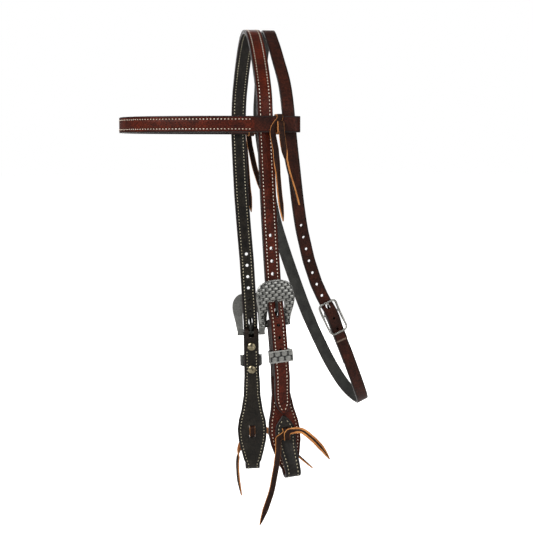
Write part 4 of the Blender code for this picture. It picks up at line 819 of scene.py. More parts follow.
cutter = bmesh.new()
for index in range(-THROAT_HOLES_BELOW, THROAT_HOLES_ABOVE + 1):
    at = -THROAT_HOLE_RISE - index * HOLE_PITCH
    before, centre, after = (
        loop.place(loop.length + at + step, from_table(BILLET_OUTS, at + step))
        for step in (-THROAT_SLOPE_STEP, 0.0, THROAT_SLOPE_STEP))
    along = unit(after - before)
    through = np.cross(along, loop.frame(loop.length + at)[1])
    stretch = THROAT_WORN_STRETCH if index == 0 else 1.0
    radius = THROAT_WORN_RADIUS if index == 0 else THROAT_HOLE_RADIUS
    depth = THROAT_HOLE_DEPTH if index >= 0 else THROAT_LEATHER + CLEARANCE
    rod(cutter, centre, through, along, (radius * stretch, radius, depth), HOLE_SIDES)
sizes = (
    THROAT_FOLD_MID * 3.8, THROAT_TONGUE_WIDTH + 2 * LOOSE, 2 * THROAT_FOLD_MID + THROAT_LEATHER + CLEARANCE)
matrix = turned_to(bar_centre - down * THROAT_WIRE_RADIUS, bar_out, down, sizes)
bmesh.ops.create_cube(cutter, size=1.0, matrix=matrix)
harness_brown = bridle_leather(
    "dark_harness_leather", "#3f1b10", "#210e08", "#0e0604", shine=0.45, stitched=False)
# Pale cut end: the light colour of raw cut leather plus a painted highlight along the billet's end.
pale_cut_and_highlight = burnished_edge("pale_cut_end_and_painted_highlight", "#84705f", "#4e3b30")
throat_ring = ply(throat_run, -THROAT_LEATHER / 2, THROAT_LEATHER / 2, 1)


def pale_end_ring(i):
    """Strap section; at the billet's end the grain takes the pale cut: raw cut leather plus a painted
    highlight.
    """
    if i < len(throat_run.points) - 2:
        return throat_ring(i)
    return [(*point[:3], PLAIN if point[3] == GRAIN else point[3]) for point in throat_ring(i)]


latch = carried(throat_run, pale_end_ring)
# The end caps take the pale cut colour: raw cut leather, made paler as a painted highlight along the end.
for face in latch.faces:
    if len(face.verts) > 4:
        face.material_index = PLAIN
latch = punch(latch, cutter)
throat_finishes = [harness_brown, dark_edge, raw_side, pale_cut_and_highlight]
piece("throatlatch_leather", latch, throat_finishes, "throatlatch", "throatlatch_strap")

# Throatlatch buckle
# Polished stainless wire bent to a rounded rectangle round a welded bar, with a loose tongue.

WIRE_SIDES = 16
CORNER_SEGMENTS = 3
SLANTED = (0.3, 0.2, 0.93)


def steel(name, face, deep, roughness):
    """Metal with a soft mottled polish and fine handling marks."""
    metal = Finish(name)
    cloud = metal.noise(4 * MM, 5.0, 0.6)
    base = metal.mixed(metal.ranged(cloud, 0.35, 0.65), deep, face)
    rough = metal.ranged(cloud, 0.3, 0.7, roughness + 0.08, roughness - 0.05)
    return metal.dress(base, rough, metal.noise(0.25 * MM, 2.0), 0.1, 0.03 * MM, Metallic=1.0)


def soften(mesh, edges, width):
    """Break the given corners by a small round bevel and shade the mesh smooth."""
    bmesh.ops.bevel(
        mesh, geom=edges, offset=width, affect="EDGES", segments=CORNER_SEGMENTS, profile=0.5, material=-1)
    for face in mesh.faces:
        face.smooth = True


def round_bar(name, start, end, radius, finish, body, *nodes):
    """Plain pin with broken corners."""
    start, end = Vector(start), Vector(end)
    mesh = bmesh.new()
    rod(mesh, (start + end) / 2, end - start, SLANTED, (radius, radius, (end - start).length))
    soften(mesh, [e for e in mesh.edges if any(len(face.verts) > 4 for face in e.link_faces)], radius * 0.3)
    piece(name, mesh, [finish], body, *nodes)


def softened(name, cad_name, finish, body, width):
    """Copy of a CAD solid with its corners broken."""
    mesh = bmesh.new()
    mesh.from_mesh(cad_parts[cad_name].data)
    bmesh.ops.remove_doubles(mesh, verts=mesh.verts, dist=1e-6)
    bmesh.ops.dissolve_limit(mesh, angle_limit=math.radians(1.0), verts=mesh.verts, edges=mesh.edges)
    sharp = [edge for edge in mesh.edges if edge.is_manifold and edge.calc_face_angle() > math.radians(40)]
    soften(mesh, sharp, width)
    piece(name, mesh, [finish], body, cad_name)


class Ring:
    """Closed run of even stations with its own width direction."""

    def __init__(self, points, across):
        self.points = np.array(points)
        tangents = np.roll(self.points, -1, axis=0) - np.roll(self.points, 1, axis=0)
        self.across, self.out = square_up(tangents, np.array([across] * len(points)))
        self.at = lengths_along(self.points)


bright_steel = steel("polished_stainless_wire", "#aeada8", "#83827d", 0.24)
half = THROAT_FRAME_WIDTH / 2 - THROAT_WIRE_RADIUS
outline = []
for rise_sign, side_sign in ((1, 1), (1, -1), (-1, -1), (-1, 1)):
    reach = THROAT_TOP_BAR if rise_sign > 0 else THROAT_LOW_BAR
    for turn in np.linspace(0.0, math.pi / 2, 8):
        turn = math.pi / 2 - turn if rise_sign * side_sign < 0 else turn
        a = side_sign * (half - THROAT_FRAME_CORNER * (1 - math.cos(turn)))
        outline.append((rise_sign * (reach - THROAT_FRAME_CORNER * (1 - math.sin(turn))), a))
points = []
for rise, side in even_steps(np.array(outline + outline[:1]), 141)[:-1]:
    reach = THROAT_TOP_BAR if rise > 0 else THROAT_LOW_BAR
    lift = bar_out * THROAT_BAR_LIFT * (rise / reach) ** 2
    points.append(bar_centre - down * rise + bar_side * side + lift)
turns = [2 * math.pi * k / WIRE_SIDES for k in range(WIRE_SIDES)]
section = [(THROAT_WIRE_RADIUS * math.cos(t), THROAT_WIRE_RADIUS * math.sin(t), 0.0, 0) for t in turns]
wire = carried(Ring(points, bar_out), lambda i: section, closed=True)
piece("throat_buckle_wire", wire, [bright_steel], "throat_frame", "throat_buckle_frame")
round_bar(
    "throat_buckle_bar", bar_centre - bar_side * half, bar_centre + bar_side * half,
    THROAT_WIRE_RADIUS * 0.98, bright_steel, "throat_frame")
softened("throat_tongue_wire", "throat_buckle_tongue", bright_steel, "throat_tongue", 0.3 * MM)

# Cart buckles
# Cast horseshoe frames of antiqued nickel alloy, stamped with a basket weave and left dark in the
# hollows, on a riveted pin with a blued steel tongue.

FRAME_WIDTH = 39.4 * MM
FRAME_FOOT = 2.6 * MM
LUG_WIDTH_SHARE = 0.79
PIN_LENGTH_SHARE = 0.76
WINDOW_WIDTH = 17.3 * MM
FRAME_THICKNESS = 3.6 * MM
LUG_THICKNESS = 5.2 * MM
FRAME_LIFT = 6.6 * MM
WEAVE_PITCH = 6.7 * MM
WEAVE_ROW = 3.1 * MM
WEAVE_DEPTH = 0.55 * MM
WEAVE_RIM = 0.9 * MM
WEAVE_CREST = 0.42
WEAVE_PLUMPNESS = 0.38
FRAME_OUTLINE_LENGTH = 120 * MM
FRAME_INNER_SHARES = (
    (1.0, 0.2), (1.0, 0.45), (1.0, 0.66), (1.0, 0.83), (0.95, 0.95), (0.83, 1.0), (0.6, 1.0), (0.3, 1.0))
FRAME_OUTER_SHARES = (
    (0.815, 0.1), (0.865, 0.25), (0.92, 0.39), (0.98, 0.52), (1.0, 0.64), (0.94, 0.79),
    (0.73, 0.92), (0.4, 0.982))
FRAME_CROWN_SHARES = (
    (0.0, 0.35), (0.08, 0.68), (0.16, 0.8), (0.5, 1.0), (0.84, 0.8), (0.92, 0.68), (1.0, 0.35))


def held(value):
    """Value held between 0 and 1."""
    return min(1.0, max(0.0, value))


def eased(share):
    """Share from 0 to 1 that starts and ends gently."""
    share = held(share)
    return share * share * (3 - 2 * share)


def basket_hollow(across, rise, pitch, row):
    """Depth from 0 to 1 between the plump strips of a weave, each row set over by half."""
    line = math.floor(rise / row)
    turn = across / pitch + 0.5 * (line % 2)
    crest = (0.5 - 0.5 * math.cos(2 * math.pi * turn)) ** WEAVE_CREST
    return 1.0 - crest * math.sin(math.pi * (rise / row - line)) ** WEAVE_PLUMPNESS


def antique_metal(name, face, dark, roughness):
    """Cast nickel alloy, blackened and rubbed back: the run map's second value is the pattern's height."""
    metal = Finish(name)
    height = metal.run_marks()[1]
    shift = metal.calc("MULTIPLY_ADD", metal.noise(2.2 * MM, 5.0, 0.65), 0.5, height)
    rubbed = metal.ranged(shift, 0.48, 0.94)
    bare = metal.ranged(rubbed, 0.0, 1.0, 0.35, 1.0)
    rough = metal.ranged(rubbed, 0.0, 1.0, 0.6, roughness)
    fine = metal.noise(0.3 * MM, 3.0)
    return metal.dress(metal.mixed(rubbed, dark, face), rough, fine, 0.3, 0.08 * MM, Metallic=bare)


def frame_base(rise):
    """Back face of the frame, rising off its lugs to clear the strap."""
    lift = eased((rise - FRAME_FOOT) / (WINDOW_RISE * 0.9 - FRAME_FOOT))
    return -LUG_THICKNESS / 2 + (FRAME_LIFT + LUG_THICKNESS / 2) * lift


def horseshoe_pairs():
    """Window edge and outer edge of the frame from one lug to the other, at even steps."""
    half_window, half_frame = WINDOW_WIDTH / 2, FRAME_WIDTH / 2
    pairs = [(half_window, rise, half_frame * LUG_WIDTH_SHARE, rise) for rise in (-FRAME_FOOT, FRAME_FOOT)]
    for inner, outer in zip(FRAME_INNER_SHARES, FRAME_OUTER_SHARES):
        pairs.append((
            half_window * inner[0], WINDOW_RISE * inner[1], half_frame * outer[0], FRAME_RISE * outer[1]))
    middle = [(0.0, WINDOW_RISE, 0.0, FRAME_RISE)]
    mirrored = [(-p[0], p[1], -p[2], p[3]) for p in reversed(pairs)]
    pairs = np.array(pairs + middle + mirrored)
    knots = lengths_along(pairs[:, 2:])
    return curve_through(pairs, knots, np.linspace(0.0, knots[-1], 301))


def cart_frame(leg):
    """Horseshoe frame: a woven face between plain rims, thicker at its two lugs."""
    pairs = horseshoe_pairs()
    columns = np.linspace(0.0, 1.0, 49)
    crowns = [from_table(FRAME_CROWN_SHARES, share) for share in columns]

    def ring(i):
        inner, outer = pairs[i][:2], pairs[i][2:]
        breadth = float(np.linalg.norm(outer - inner))
        lug = held((inner[1] - FRAME_FOOT) / FRAME_FOOT)
        thick = LUG_THICKNESS + (FRAME_THICKNESS - LUG_THICKNESS) * lug
        end = min(i, len(pairs) - 1 - i) / (len(pairs) - 1) * FRAME_OUTLINE_LENGTH
        rows = []
        for share, crown in zip(columns, crowns):
            spot = inner + (outer - inner) * share
            margin = min(share * breadth, (1 - share) * breadth, end)
            mask = held((margin - WEAVE_RIM * 0.4) / WEAVE_RIM)
            hollow = mask * basket_hollow(*spot, WEAVE_PITCH, WEAVE_ROW)
            level = frame_base(spot[1]) + thick * crown - WEAVE_DEPTH * hollow
            rows.append((spot, level, (1.0 - hollow) * MM, 0))
        for edge in (outer, outer * 0.75 + inner * 0.25, inner * 0.75 + outer * 0.25, inner):
            rows.append((edge, frame_base(edge[1]), 0.5 * MM, 0))
        return rows

    def place(i, spot, out):
        return leg.place(spot[1], spot[0], out, bent=False)

    at = np.linspace(0.0, FRAME_OUTLINE_LENGTH, len(pairs))
    mesh = skin([ring(i) for i in range(len(pairs))], place, at, cap=0)
    cutter = bmesh.new()
    radius = BAR_RADIUS + CLEARANCE
    rod(cutter, leg.bar, leg.back, leg.up, (radius, radius, FRAME_WIDTH * 2))
    finishes = [antique_nickel, dark_steel]
    body, cad_name = f"{leg.label}_frame", f"{leg.label}_buckle_frame"
    piece(f"{leg.label}_cart_frame", punch(mesh, cutter), finishes, body, cad_name)


antique_nickel = antique_metal("antique_nickel_casting", "#93938f", "#0e0e0d", 0.27)
pin_steel = steel("grey_steel_pin", "#8b8c88", "#54554f", 0.35)
dark_steel = steel("blued_steel_tongue", "#454543", "#242423", 0.4)
for leg in legs:
    cart_frame(leg)
    reach = leg.back * (FRAME_WIDTH / 2 * PIN_LENGTH_SHARE)
    pin, tongue = f"{leg.label}_buckle_bar", f"{leg.label}_buckle_tongue"
    round_bar(
        f"{leg.label}_cart_pin", leg.bar - reach, leg.bar + reach, BAR_RADIUS, pin_steel, "headstall", pin)
    softened(f"{leg.label}_cart_tongue", tongue, dark_steel, f"{leg.label}_tongue", 0.35 * MM)

# Keepers and screws
# Wide bands of the same stamped alloy hold the billet down, and brass Chicago screws with domed
# heads towards the horse close the fold of the cheek above and below them.

KEEPER_HEIGHT = 12.0 * MM
KEEPER_WIDTH = 25.2 * MM
KEEPER_CORNER = 1.4 * MM
KEEPER_STEP = 0.42 * MM
KEEPER_RIM = 0.25 * MM
KEEPER_RIM_WIDTH = 0.3 * MM
KEEPER_END_MARGIN = 0.7 * MM
KEEPER_EDGE_MARGIN = 0.9 * MM
LOWER_SCREW_DROP = 41.2 * MM
POST_RADIUS = 2.5 * MM
DOME_RADIUS = 4.8 * MM
DOME_HEIGHT = 2.2 * MM
CAP_RADIUS = 3.6 * MM
CAP_HEIGHT = 0.8 * MM
SHANK_RADIUS = 1.3 * MM
CHEEK_TOP_WIDTH = 16.7 * MM
KEEPER_WEAVE_PITCH = 7.1 * MM
KEEPER_WEAVE_ROW = 5.0 * MM
brass = steel("worn_brass_screw", "#b3a88c", "#655b47", 0.2)


def rounded_outline(corners):
    """Closed outline with its corners rounded, at even steps."""
    points = []
    corners = [Vector(c) for c in corners]
    for before, here, after in zip(corners[-1:] + corners[:-1], corners, corners[1:] + corners[:1]):
        start = here + (before - here).normalized() * KEEPER_CORNER
        end = here + (after - here).normalized() * KEEPER_CORNER
        for share in np.linspace(0.0, 1.0, 6):
            points.append(tuple(start.lerp(here, share).lerp(here.lerp(end, share), share)))
    points = np.array(points + points[:1])
    return even_steps(points, int(lengths_along(points)[-1] / KEEPER_STEP) + 1)[:-1]


def keeper(leg):
    """Band round the billet and through the cheek's fold, woven on its front face only."""
    high = BILLET_OVER_FOLD + CROWN_THICKNESS + CLEARANCE + KEEPER_PLATE
    low = -KEEPER_PLATE / 2
    wide, tall = KEEPER_WIDTH / 2, KEEPER_HEIGHT / 2
    narrow = CHEEK_TOP_WIDTH / 2 + LOOSE + KEEPER_PLATE
    outline = rounded_outline([(-narrow, low), (narrow, low), (wide, high), (-wide, high)])
    shift = leg.bend(-KEEPER_DROP)
    band = Ring([leg.place(-KEEPER_DROP, a + shift, n, bent=False) for a, n in outline], leg.up)
    turn = math.copysign(1.0, float(np.dot(band.out[1], leg.out)))

    def ring(i):
        across, level = outline[i]
        on_front = held((level - high + 0.5 * MM) / (0.4 * MM))
        side = max(0.0, wide - KEEPER_END_MARGIN - abs(across)) / WEAVE_RIM
        rows = []
        for a in np.linspace(-0.5, 0.5, 31) * KEEPER_HEIGHT:
            mask = min(side, held((tall - KEEPER_EDGE_MARGIN - abs(a)) / (0.5 * MM))) * on_front
            hollow = mask * basket_hollow(across, a, KEEPER_WEAVE_PITCH, KEEPER_WEAVE_ROW)
            rim = KEEPER_RIM * max(0.0, 1.0 - (tall - abs(a)) / KEEPER_RIM_WIDTH)
            mark = (1.0 - hollow) * (0.3 + 0.7 * on_front)
            rows.append((a, turn * (0.6 * WEAVE_DEPTH * hollow + rim), mark * MM, 0))
        for a in (tall - 0.15 * MM, 0.0, 0.15 * MM - tall):
            rows.append((a, turn * KEEPER_PLATE, 0.6 * MM, 0))
        return rows

    name = f"{leg.label}_keeper"
    piece(f"{name}_band", carried(band, ring, closed=True), [antique_nickel], name, name)


def turned(name, base, axis, profile, cad_name):
    """Brass piece spun from pairs of distance and radius along an axis."""
    mesh = bmesh.new()
    across = unit(np.cross(axis, SLANTED))
    line = [mesh.verts.new(Vector(base + axis * level + across * radius)) for level, radius in profile]
    edges = [mesh.edges.new(pair) for pair in zip(line[:-1], line[1:])]
    bmesh.ops.spin(
        mesh, geom=line + edges, cent=Vector(base), axis=Vector(axis), angle=2 * math.pi, steps=32,
        use_merge=True)
    bmesh.ops.remove_doubles(mesh, verts=mesh.verts, dist=WELD)
    bmesh.ops.recalc_face_normals(mesh, faces=mesh.faces)
    for face in mesh.faces:
        face.smooth = True
    piece(name, mesh, [brass], "headstall", cad_name)


def chicago_screw(name, base, axis):
    """Domed barrel from the head's side and the flat cap that screws into it."""
    seat = -CHEEK_HALF_GAP - CHEEK_THICKNESS - CLEARANCE
    cap_seat = CHEEK_HALF_GAP + CHEEK_THICKNESS - CAP_HEIGHT
    bore, mouth = SHANK_RADIUS + CLEARANCE, cap_seat - CLEARANCE
    shoulder, foot = seat + 0.2 * MM, -CHEEK_HALF_GAP
    quarter = np.linspace(math.pi / 2, 0.0, 13)[1:]
    barrel = [(seat - DOME_HEIGHT, 0.0)]
    barrel += [(seat - DOME_HEIGHT * math.sin(t), DOME_RADIUS * math.cos(t)) for t in quarter]
    barrel += [(shoulder, DOME_RADIUS), (shoulder, POST_RADIUS), (mouth, POST_RADIUS), (mouth, bore),
               (foot, bore), (foot, 0.0)]
    turned(f"{name}_dome", base, axis, barrel, f"{name}_barrel")
    cap = [(foot + CLEARANCE, 0.0), (foot + CLEARANCE, SHANK_RADIUS), (cap_seat, SHANK_RADIUS),
           (cap_seat, CAP_RADIUS), (cap_seat + CAP_HEIGHT * 0.7, CAP_RADIUS),
           (cap_seat + CAP_HEIGHT, CAP_RADIUS * 0.9), (cap_seat + CAP_HEIGHT, 0.0)]
    turned(f"{name}_head", base, axis, cap, f"{name}_cap")


for leg in legs:
    keeper(leg)
    for label, drop in (("upper", UPPER_SCREW_DROP), ("lower", LOWER_SCREW_DROP)):
        chicago_screw(f"{leg.label}_{label}_screw", leg.place(-drop, 0.0, 0.0), leg.out)

# Cheek pieces
# Two thin plies sewn back to back, folded over the buckle bar at the top and round the bit at the
# bottom, where they swell to a leaf shape and the shiny black end lies up the front as a tab.

CHEEK_FULL_WIDTH = 33.0 * MM
CHEEK_FOLD_WIDTH = 16.0 * MM
BIT_FOLD_RADIUS = 4.5 * MM
TAB_FULL_WIDTH = 21.0 * MM
TAB_TIP_DROP = 93.5 * MM
UPPER_LACE_DROP = 106.5 * MM
LOWER_LACE_DROP = 117.3 * MM
LACE_SLOT_WIDTH = 7.0 * MM
LACE_SLOT_HEIGHT = 2.6 * MM
TONGUE_SLOT_WIDTH = 6.0 * MM
FIRST_STITCH_DROP = 19.6 * MM
CHEEK_STEP = 1.0 * MM
CHEEK_SHOULDER = 1.5 * MM
CHEEK_SWELL_SHARES = (
    (0.0, 0.0), (0.288, 0.0), (0.359, 0.086), (0.455, 0.147), (0.558, 0.46), (0.635, 0.834), (0.705, 1.0),
    (0.779, 0.883), (0.853, 0.558), (0.927, 0.184), (0.965, 0.04), (1.0, -0.043))
TAB_WIDTH_SHARES = (
    (0.0, 0.762), (0.2, 0.79), (0.42, 0.88), (0.6, 0.98), (0.72, 1.0), (0.81, 0.9), (0.88, 0.66),
    (0.94, 0.4), (1.0, 0.143))
TAB_STATIONS = (0.12, 0.24, 0.36, 0.48, 0.6, 0.7, 0.79, 0.87, 0.94, 1.0)
FOLD_CENTRE = BIT_FOLD_DROP - BIT_FOLD_RADIUS - CHEEK_THICKNESS


def tab_out(below):
    """Middle of the folded tab outward from the bar's centre line."""
    rest = -CHEEK_HALF_GAP + CLEARANCE + CHEEK_THICKNESS / 2
    fold = -CHEEK_HALF_GAP + 2 * BIT_FOLD_RADIUS + CHEEK_THICKNESS / 2
    return fold + (rest - fold) * eased((FOLD_CENTRE - below) / (BIT_FOLD_DROP - LOWER_LACE_DROP) * 1.35)


def cheek_run(leg):
    """Course of the cheek from the end of its upper fold, over the bar and the bit, to the tab's tip."""
    top_half = CHEEK_TOP_WIDTH / 2
    rows = []
    drops = (POST_RADIUS * 2.4, UPPER_SCREW_DROP, KEEPER_DROP)
    for below in (FOLD_OUT_LENGTH, LOWER_SCREW_DROP + POST_RADIUS * 2, *reversed(drops)):
        rows.append((leg.place(-below, 0.0, CHEEK_MID), top_half))
    for turn in np.linspace(0.0, math.pi, ARC_STEPS):
        rows.append((leg.place(math.sin(turn) * FOLD_MID, 0.0, math.cos(turn) * FOLD_MID), top_half))
    for below in drops:
        rows.append((leg.place(-below, 0.0, -CHEEK_MID), top_half))
    swell = (CHEEK_FULL_WIDTH - CHEEK_TOP_WIDTH) / 2
    for share, _ in CHEEK_SWELL_SHARES[1:-1]:
        below = share * BIT_FOLD_DROP
        if below < FOLD_CENTRE:
            half = top_half + from_table(CHEEK_SWELL_SHARES, below, BIT_FOLD_DROP, swell)
            rows.append((leg.place(-below, 0.0, -CHEEK_MID), half))
    radius = BIT_FOLD_RADIUS + CHEEK_THICKNESS / 2
    middle = -CHEEK_HALF_GAP + BIT_FOLD_RADIUS
    for turn in np.linspace(0.0, math.pi, ARC_STEPS):
        spot = leg.place(-FOLD_CENTRE - math.sin(turn) * radius, 0.0, middle - math.cos(turn) * radius)
        rows.append((spot, CHEEK_FOLD_WIDTH / 2))
    for share in TAB_STATIONS:
        below = FOLD_CENTRE - share * (FOLD_CENTRE - TAB_TIP_DROP)
        half = from_table(TAB_WIDTH_SHARES, share, 1.0, TAB_FULL_WIDTH / 2)
        rows.append((leg.place(-below, 0.0, tab_out(below)), half))
    points, halves = zip(*rows)
    return Run(points, [leg.back] * len(rows), halves, CHEEK_STEP, CHEEK_SHOULDER)


def cheek_cutter(leg, sunk_caps):
    """Tongue slot, screw holes and lace slots; the lining also gives room for the screw caps."""
    cutter = bmesh.new()
    reach = CHEEK_HALF_GAP + CHEEK_THICKNESS + CLEARANCE
    screw_drops = (UPPER_SCREW_DROP, LOWER_SCREW_DROP)
    slots = [(leg.place(BAR_RADIUS, 0.0, 0.0, bent=False),
              (TONGUE_SLOT_WIDTH, 2 * (BILLET_OVER_BAR + BAR_RADIUS), 2 * BILLET_OVER_BAR))]
    for below in (UPPER_LACE_DROP, LOWER_LACE_DROP):
        slots.append((leg.place(-below, 0.0, 0.0), (LACE_SLOT_WIDTH, LACE_SLOT_HEIGHT, 4 * reach)))
    for centre, sizes in slots:
        bmesh.ops.create_cube(cutter, size=1.0, matrix=turned_to(centre, leg.out, leg.back, sizes))
    radius = POST_RADIUS + CLEARANCE
    for below in screw_drops:
        rod(cutter, leg.place(-below, 0.0, 0.0), leg.out, leg.back, (radius, radius, 2 * reach))
    radius = CAP_RADIUS + CLEARANCE
    for below in screw_drops if sunk_caps else ():
        centre = leg.place(-below, 0.0, CHEEK_MID + CHEEK_THICKNESS / 2 + CLEARANCE)
        rod(cutter, centre, leg.out, leg.back, (radius, radius, CHEEK_THICKNESS))
    return cutter


for leg in legs:
    run = cheek_run(leg)
    low, high = PLY_GAP / 2, PLY_GAP / 2 + CHEEK_LEATHER
    sign = int(leg.side)
    grain_ply = (low, high) if sign > 0 else (-high, -low)
    back_ply = (-high, -low) if sign > 0 else (low, high)
    seam = (run.nearest(leg.place(-FIRST_STITCH_DROP, 0.0, -CHEEK_MID)), run.at[-1])
    name = f"{leg.label}_cheek"
    face = punch(carried(run, ply(run, *grain_ply, sign, seam)), cheek_cutter(leg, False))
    piece(f"{name}_leather", face, brown_ply, "headstall", name)
    back = punch(carried(run, ply(run, *back_ply, -sign, seam)), cheek_cutter(leg, True))
    piece(f"{name}_backing", back, black_ply, "headstall", f"{name}_lining")
    sew(f"{name}_stitches_face", run, (sign * high, sign), seam, waxed_thread, "headstall")
    sew(f"{name}_stitches_back", run, (-sign * high, -sign), seam, shaded_inside_thread, "headstall")

# Laces
# Soft oiled latigo thongs: dark grain on one side, warm tan flesh on the other and at the cut
# edges. One closes each bit fold, and one ties each end of the browband.

LACE_WIDTH = 6.0 * MM
LACE_THICKNESS = 1.6 * MM
LACE_TAIL = 80.0 * MM
TAIL_KEYS = (0.58 * LACE_TAIL, 0.74 * LACE_TAIL)
TAIL_SMOOTHINGS = 40
TAIL_POINT = ((0.0, 0.16), (6 * MM, 0.6), (16 * MM, 1.0))
LACE_BEVEL = 0.3 * MM
LACE_STEP = 0.8 * MM
LACE_MARK_SHIFT = 0.9 * MM
TIE_SET_BACK = 13.7 * MM
TIE_TAIL = 90.0 * MM
TIE_BEVELS = (0.7 * MM, 0.5 * MM)
NEAR_FRONT_TAIL_SHARES = (
    (-0.98, -0.468, 0.16), (-0.8, -0.4, 0.17), (-0.58, -0.313, 0.16), (-0.3, -0.22, 0.12),
    (-0.12, -0.15, 0.06))
OFF_FRONT_TAIL_SHARES = (
    (-0.91, -0.15, 0.15), (-0.67, -0.196, 0.15), (-0.43, -0.21, 0.13), (-0.24, -0.184, 0.1),
    (-0.12, -0.15, 0.06))
NEAR_BACK_TAIL_SHARES = ((-0.02, 0.185, 0.09), (-0.16, 0.31, 0.15), (-0.29, 0.4, 0.16), (-0.43, 0.47, 0.16))
OFF_BACK_TAIL_SHARES = ((-0.09, 0.21, 0.09), (-0.3, 0.44, 0.14), (-0.515, 0.68, 0.15), (-0.69, 0.87, 0.15))
FRONT_TIE_SHARES = (
    (0.04, 0.03, 1.05), (0.04, -0.01, 0.75), (0.03, -0.03, 0.5), (0.02, -0.05, 0.27), (0.004, -0.075, 0.13))
BACK_TIE_SHARES = ((0.05, 0.0, 0.06), (0.055, 0.02, 0.22), (0.045, 0.08, 0.5), (0.04, 0.2, 0.87))
lace_grain = bridle_leather("oiled_latigo_grain", "#30190f", "#1a0d08", "#1c0d09", shine=0.5, stitched=False)
lace_flesh = flesh_side("tan_latigo_flesh", "#c9864f", "#8f5326")
lace_edge = flesh_side("tan_latigo_edge", "#cf8c4a", "#9a5c2a")


def tail_share(at):
    """1 along a lace's free tail and 0 along its tied part."""
    return np.interp(at, TAIL_KEYS, (1.0, 0.0))


def lace_run(path, start_side, flat_rows, flat_out, level_rows, twists):
    """Carries the lace's width direction along its path; its tails hang softly, each twisted by an angle."""
    path = np.asarray(path, dtype=float)
    steps = np.diff(path, axis=0)
    steps /= np.linalg.norm(steps, axis=1)[:, None]
    tangents = np.concatenate([steps[:1], steps[1:] + steps[:-1], steps[-1:]])
    side = np.asarray(start_side, dtype=float)
    across = []
    for index, tangent in enumerate(tangents):
        tangent = unit(tangent)
        if index in flat_rows:
            side = side - flat_out * side.dot(flat_out)
        if index in level_rows:
            side = np.asarray(start_side, dtype=float)
        side = unit(side - tangent * side.dot(tangent))
        across.append(side)
    run = Run(path, across, [LACE_WIDTH / 2] * len(path), LACE_STEP)
    front, back = tail_share(run.at), tail_share(run.at[-1] - run.at)
    relaxed = run.points.copy()
    for _ in range(TAIL_SMOOTHINGS):
        relaxed[1:-1] = (relaxed[:-2] + 2 * relaxed[1:-1] + relaxed[2:]) / 4
    run.points += (front + back)[:, None] * (relaxed - run.points)
    turn = (front * math.radians(twists[0]) + back * math.radians(twists[1]))[:, None]
    across = run.across * np.cos(turn) + run.out * np.sin(turn)
    run.out = run.out * np.cos(turn) - run.across * np.sin(turn)
    run.across = across
    end = np.minimum(run.at, run.at[-1] - run.at)
    run.halves = LACE_WIDTH / 2 * np.interp(end, *zip(*TAIL_POINT))
    return run


def lace_ring(run, grain, bevels):
    """Thin section, dark on one face and tan on the other; bevels: the tan edges of its two tails."""

    def ring(i):
        half, thick = run.halves[i], LACE_THICKNESS / 2
        front, back = tail_share(run.at[i]), tail_share(run.at[-1] - run.at[i])
        soft = LACE_BEVEL + front * (bevels[0] - LACE_BEVEL) + back * (bevels[1] - LACE_BEVEL)
        flat = half - min(soft, half * 0.7)
        points = [(flat, -thick, EDGE), (half, -thick * 0.5, EDGE), (half, thick * 0.5, EDGE),
                  (flat, thick, GRAIN), (0.0, thick * 1.1, GRAIN), (-flat, thick, EDGE),
                  (-half, thick * 0.5, EDGE), (-half, -thick * 0.5, EDGE), (-flat, -thick, FLESH),
                  (0.0, -thick * 1.1, FLESH)]
        return [(a, grain * n, half - abs(a) + LACE_MARK_SHIFT, kind) for a, n, kind in points]

    return ring


def bit_lace(leg, front_shares, back_shares, twists, bevels):
    """Lace through both slots of the bit fold, crossed over its own start, with a tail each way."""
    half = LACE_THICKNESS / 2
    face = tab_out(LOWER_LACE_DROP) + CHEEK_THICKNESS / 2 + CLEARANCE + half
    over = face + LACE_THICKNESS + CLEARANCE * 2
    inside = -CHEEK_HALF_GAP - CHEEK_THICKNESS - CLEARANCE - half
    bend = LACE_THICKNESS * 1.15
    low, high = -LOWER_LACE_DROP, -UPPER_LACE_DROP
    rows = []
    for rise, back, out in front_shares:
        rows.append((low + rise * LACE_TAIL, back * LACE_TAIL, face + out * LACE_TAIL))
    sweep = LACE_WIDTH * 0.67
    slant = math.pi / 3
    entry = (high - bend - sweep * math.sin(slant), sweep * (math.cos(slant) - 1.0))
    first_flat = len(rows)
    for reach in (LACE_WIDTH * 1.33, LACE_WIDTH * 0.67):
        rows.append((entry[0] - reach * math.cos(slant), entry[1] - reach * math.sin(slant), face))
    for share in (1.0, 0.75, 0.5, 0.25):
        turn = slant * share
        rows.append((high - bend - sweep * math.sin(turn), sweep * (math.cos(turn) - 1.0), face))
    first_level = len(rows)
    corner = [(1.0 - math.cos(t), math.sin(t)) for t in (math.pi / 6, math.pi / 3, math.pi / 2)]
    rows.append((high - bend, 0.0, face))
    rows += [(high - bend + bend * sine, 0.0, face - bend * fall) for fall, sine in corner]
    rows += [(high - bend * fall, 0.0, inside + bend * (1 - sine)) for fall, sine in ((0.0, 0.0), *corner)]
    rows += [(low + bend * (1 - sine), 0.0, inside + bend * fall) for fall, sine in ((0.0, 0.0), *corner)]
    rows.append((low, 0.0, face))
    rows += [(low + bend * fall, 0.0, over - bend * (1 - sine)) for fall, sine in corner]
    last_level = len(rows)
    start = low + (high - low) * 0.42
    rows.append((start, 0.0, over))
    for share in (0.25, 0.5, 0.75, 1.0):
        turn = math.pi / 2 * share
        rows.append((start + sweep * math.sin(turn), sweep * (1.0 - math.cos(turn)), over))
    for rise, back, out in back_shares:
        rows.append((high + rise * LACE_TAIL, back * LACE_TAIL, face + out * LACE_TAIL))
    path = [leg.place(*row) for row in rows]
    flat, level = range(first_flat, first_level), range(first_level, last_level)
    run = lace_run(path, leg.back, flat, leg.out, level, twists)
    mesh = carried(run, lace_ring(run, -leg.side, bevels))
    name = f"{leg.label}_bit"
    piece(f"{name}_thong", mesh, [lace_grain, lace_edge, lace_flesh], "headstall", f"{name}_lace")


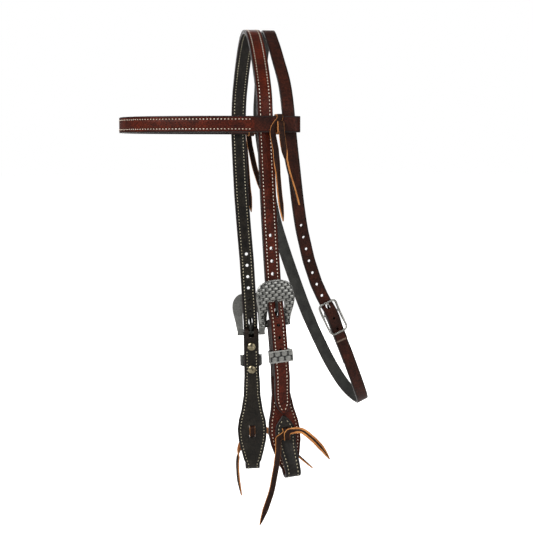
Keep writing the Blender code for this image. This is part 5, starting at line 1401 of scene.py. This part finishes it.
def band_tie(side, label, twists):
    """Thong wrapped once round the browband's end and crossed over its own start."""
    half = LACE_THICKNESS / 2
    gap = CLEARANCE + half
    outer = BAND_HALF_WIDTH + gap
    over = outer + LACE_THICKNESS + CLEARANCE * 2
    inner = BAND_HALF_WIDTH - BAND_LOOP_GAP - 2 * LEATHER - gap
    top = -STRAP_WIDTH / 2 - gap
    low = STRAP_WIDTH / 2 + gap
    bend = LACE_THICKNESS * 1.2
    mid = TIE_SET_BACK
    arc = [(math.sin(t), 1.0 - math.cos(t)) for t in (0.0, math.pi / 6, math.pi / 3, math.pi / 2)]
    rows = [(outer + x * TIE_TAIL, mid + y * TIE_TAIL, z * TIE_TAIL) for x, y, z in FRONT_TIE_SHARES]
    first_flat = len(rows)
    for set_back, drop in ((1.15, 0.4), (0.95, 0.15), (0.55, -0.07), (0.15, -0.25)):
        rows.append((outer, mid - LACE_WIDTH * set_back, STRAP_WIDTH * drop))
    first_level = len(rows)
    rows += [(outer - bend * b, mid, top + bend - bend * a) for a, b in arc]
    rows += [(inner + bend * (1 - a), mid, top + bend * b) for a, b in arc]
    rows += [(inner + bend * b, mid, low - bend * (1 - a)) for a, b in arc]
    rows += [(over - bend * (1 - a), mid, low - bend * b) for a, b in arc]
    rows += [(over, mid, STRAP_WIDTH * 0.05)]
    fold = LACE_THICKNESS * 0.9
    for step in range(5):
        turn = math.pi * step / 4
        rows.append((over + fold - fold * math.cos(turn), mid, -STRAP_WIDTH * 0.05 - fold * math.sin(turn)))
    last_level = len(rows) - 1
    for x, y, z in BACK_TIE_SHARES:
        rows.append((over + 2 * fold + x * TIE_TAIL * 0.5, mid + y * TIE_TAIL, z * TIE_TAIL))
    path = [(side * x, y, BAND_LEVEL - z) for x, y, z in rows]
    flat, level = range(first_flat, first_level), range(first_level, last_level)
    run = lace_run(path, (0.0, 1.0, 0.0), flat, np.array([side, 0.0, 0.0]), level, twists)
    mesh = carried(run, lace_ring(run, side, TIE_BEVELS))
    piece(f"{label}_band_thong", mesh, [lace_grain, lace_edge, lace_grain], "browband", f"{label}_band_tie")


bit_lace(near, NEAR_FRONT_TAIL_SHARES, NEAR_BACK_TAIL_SHARES, (0.0, -30.0), (0.3 * MM, 2.0 * MM))
bit_lace(off, OFF_FRONT_TAIL_SHARES, OFF_BACK_TAIL_SHARES, (115.0, 115.0), (0.5 * MM, 0.5 * MM))
band_tie(1.0, "near", (30.0, 80.0))
band_tie(-1.0, "off", (0.0, 0.0))
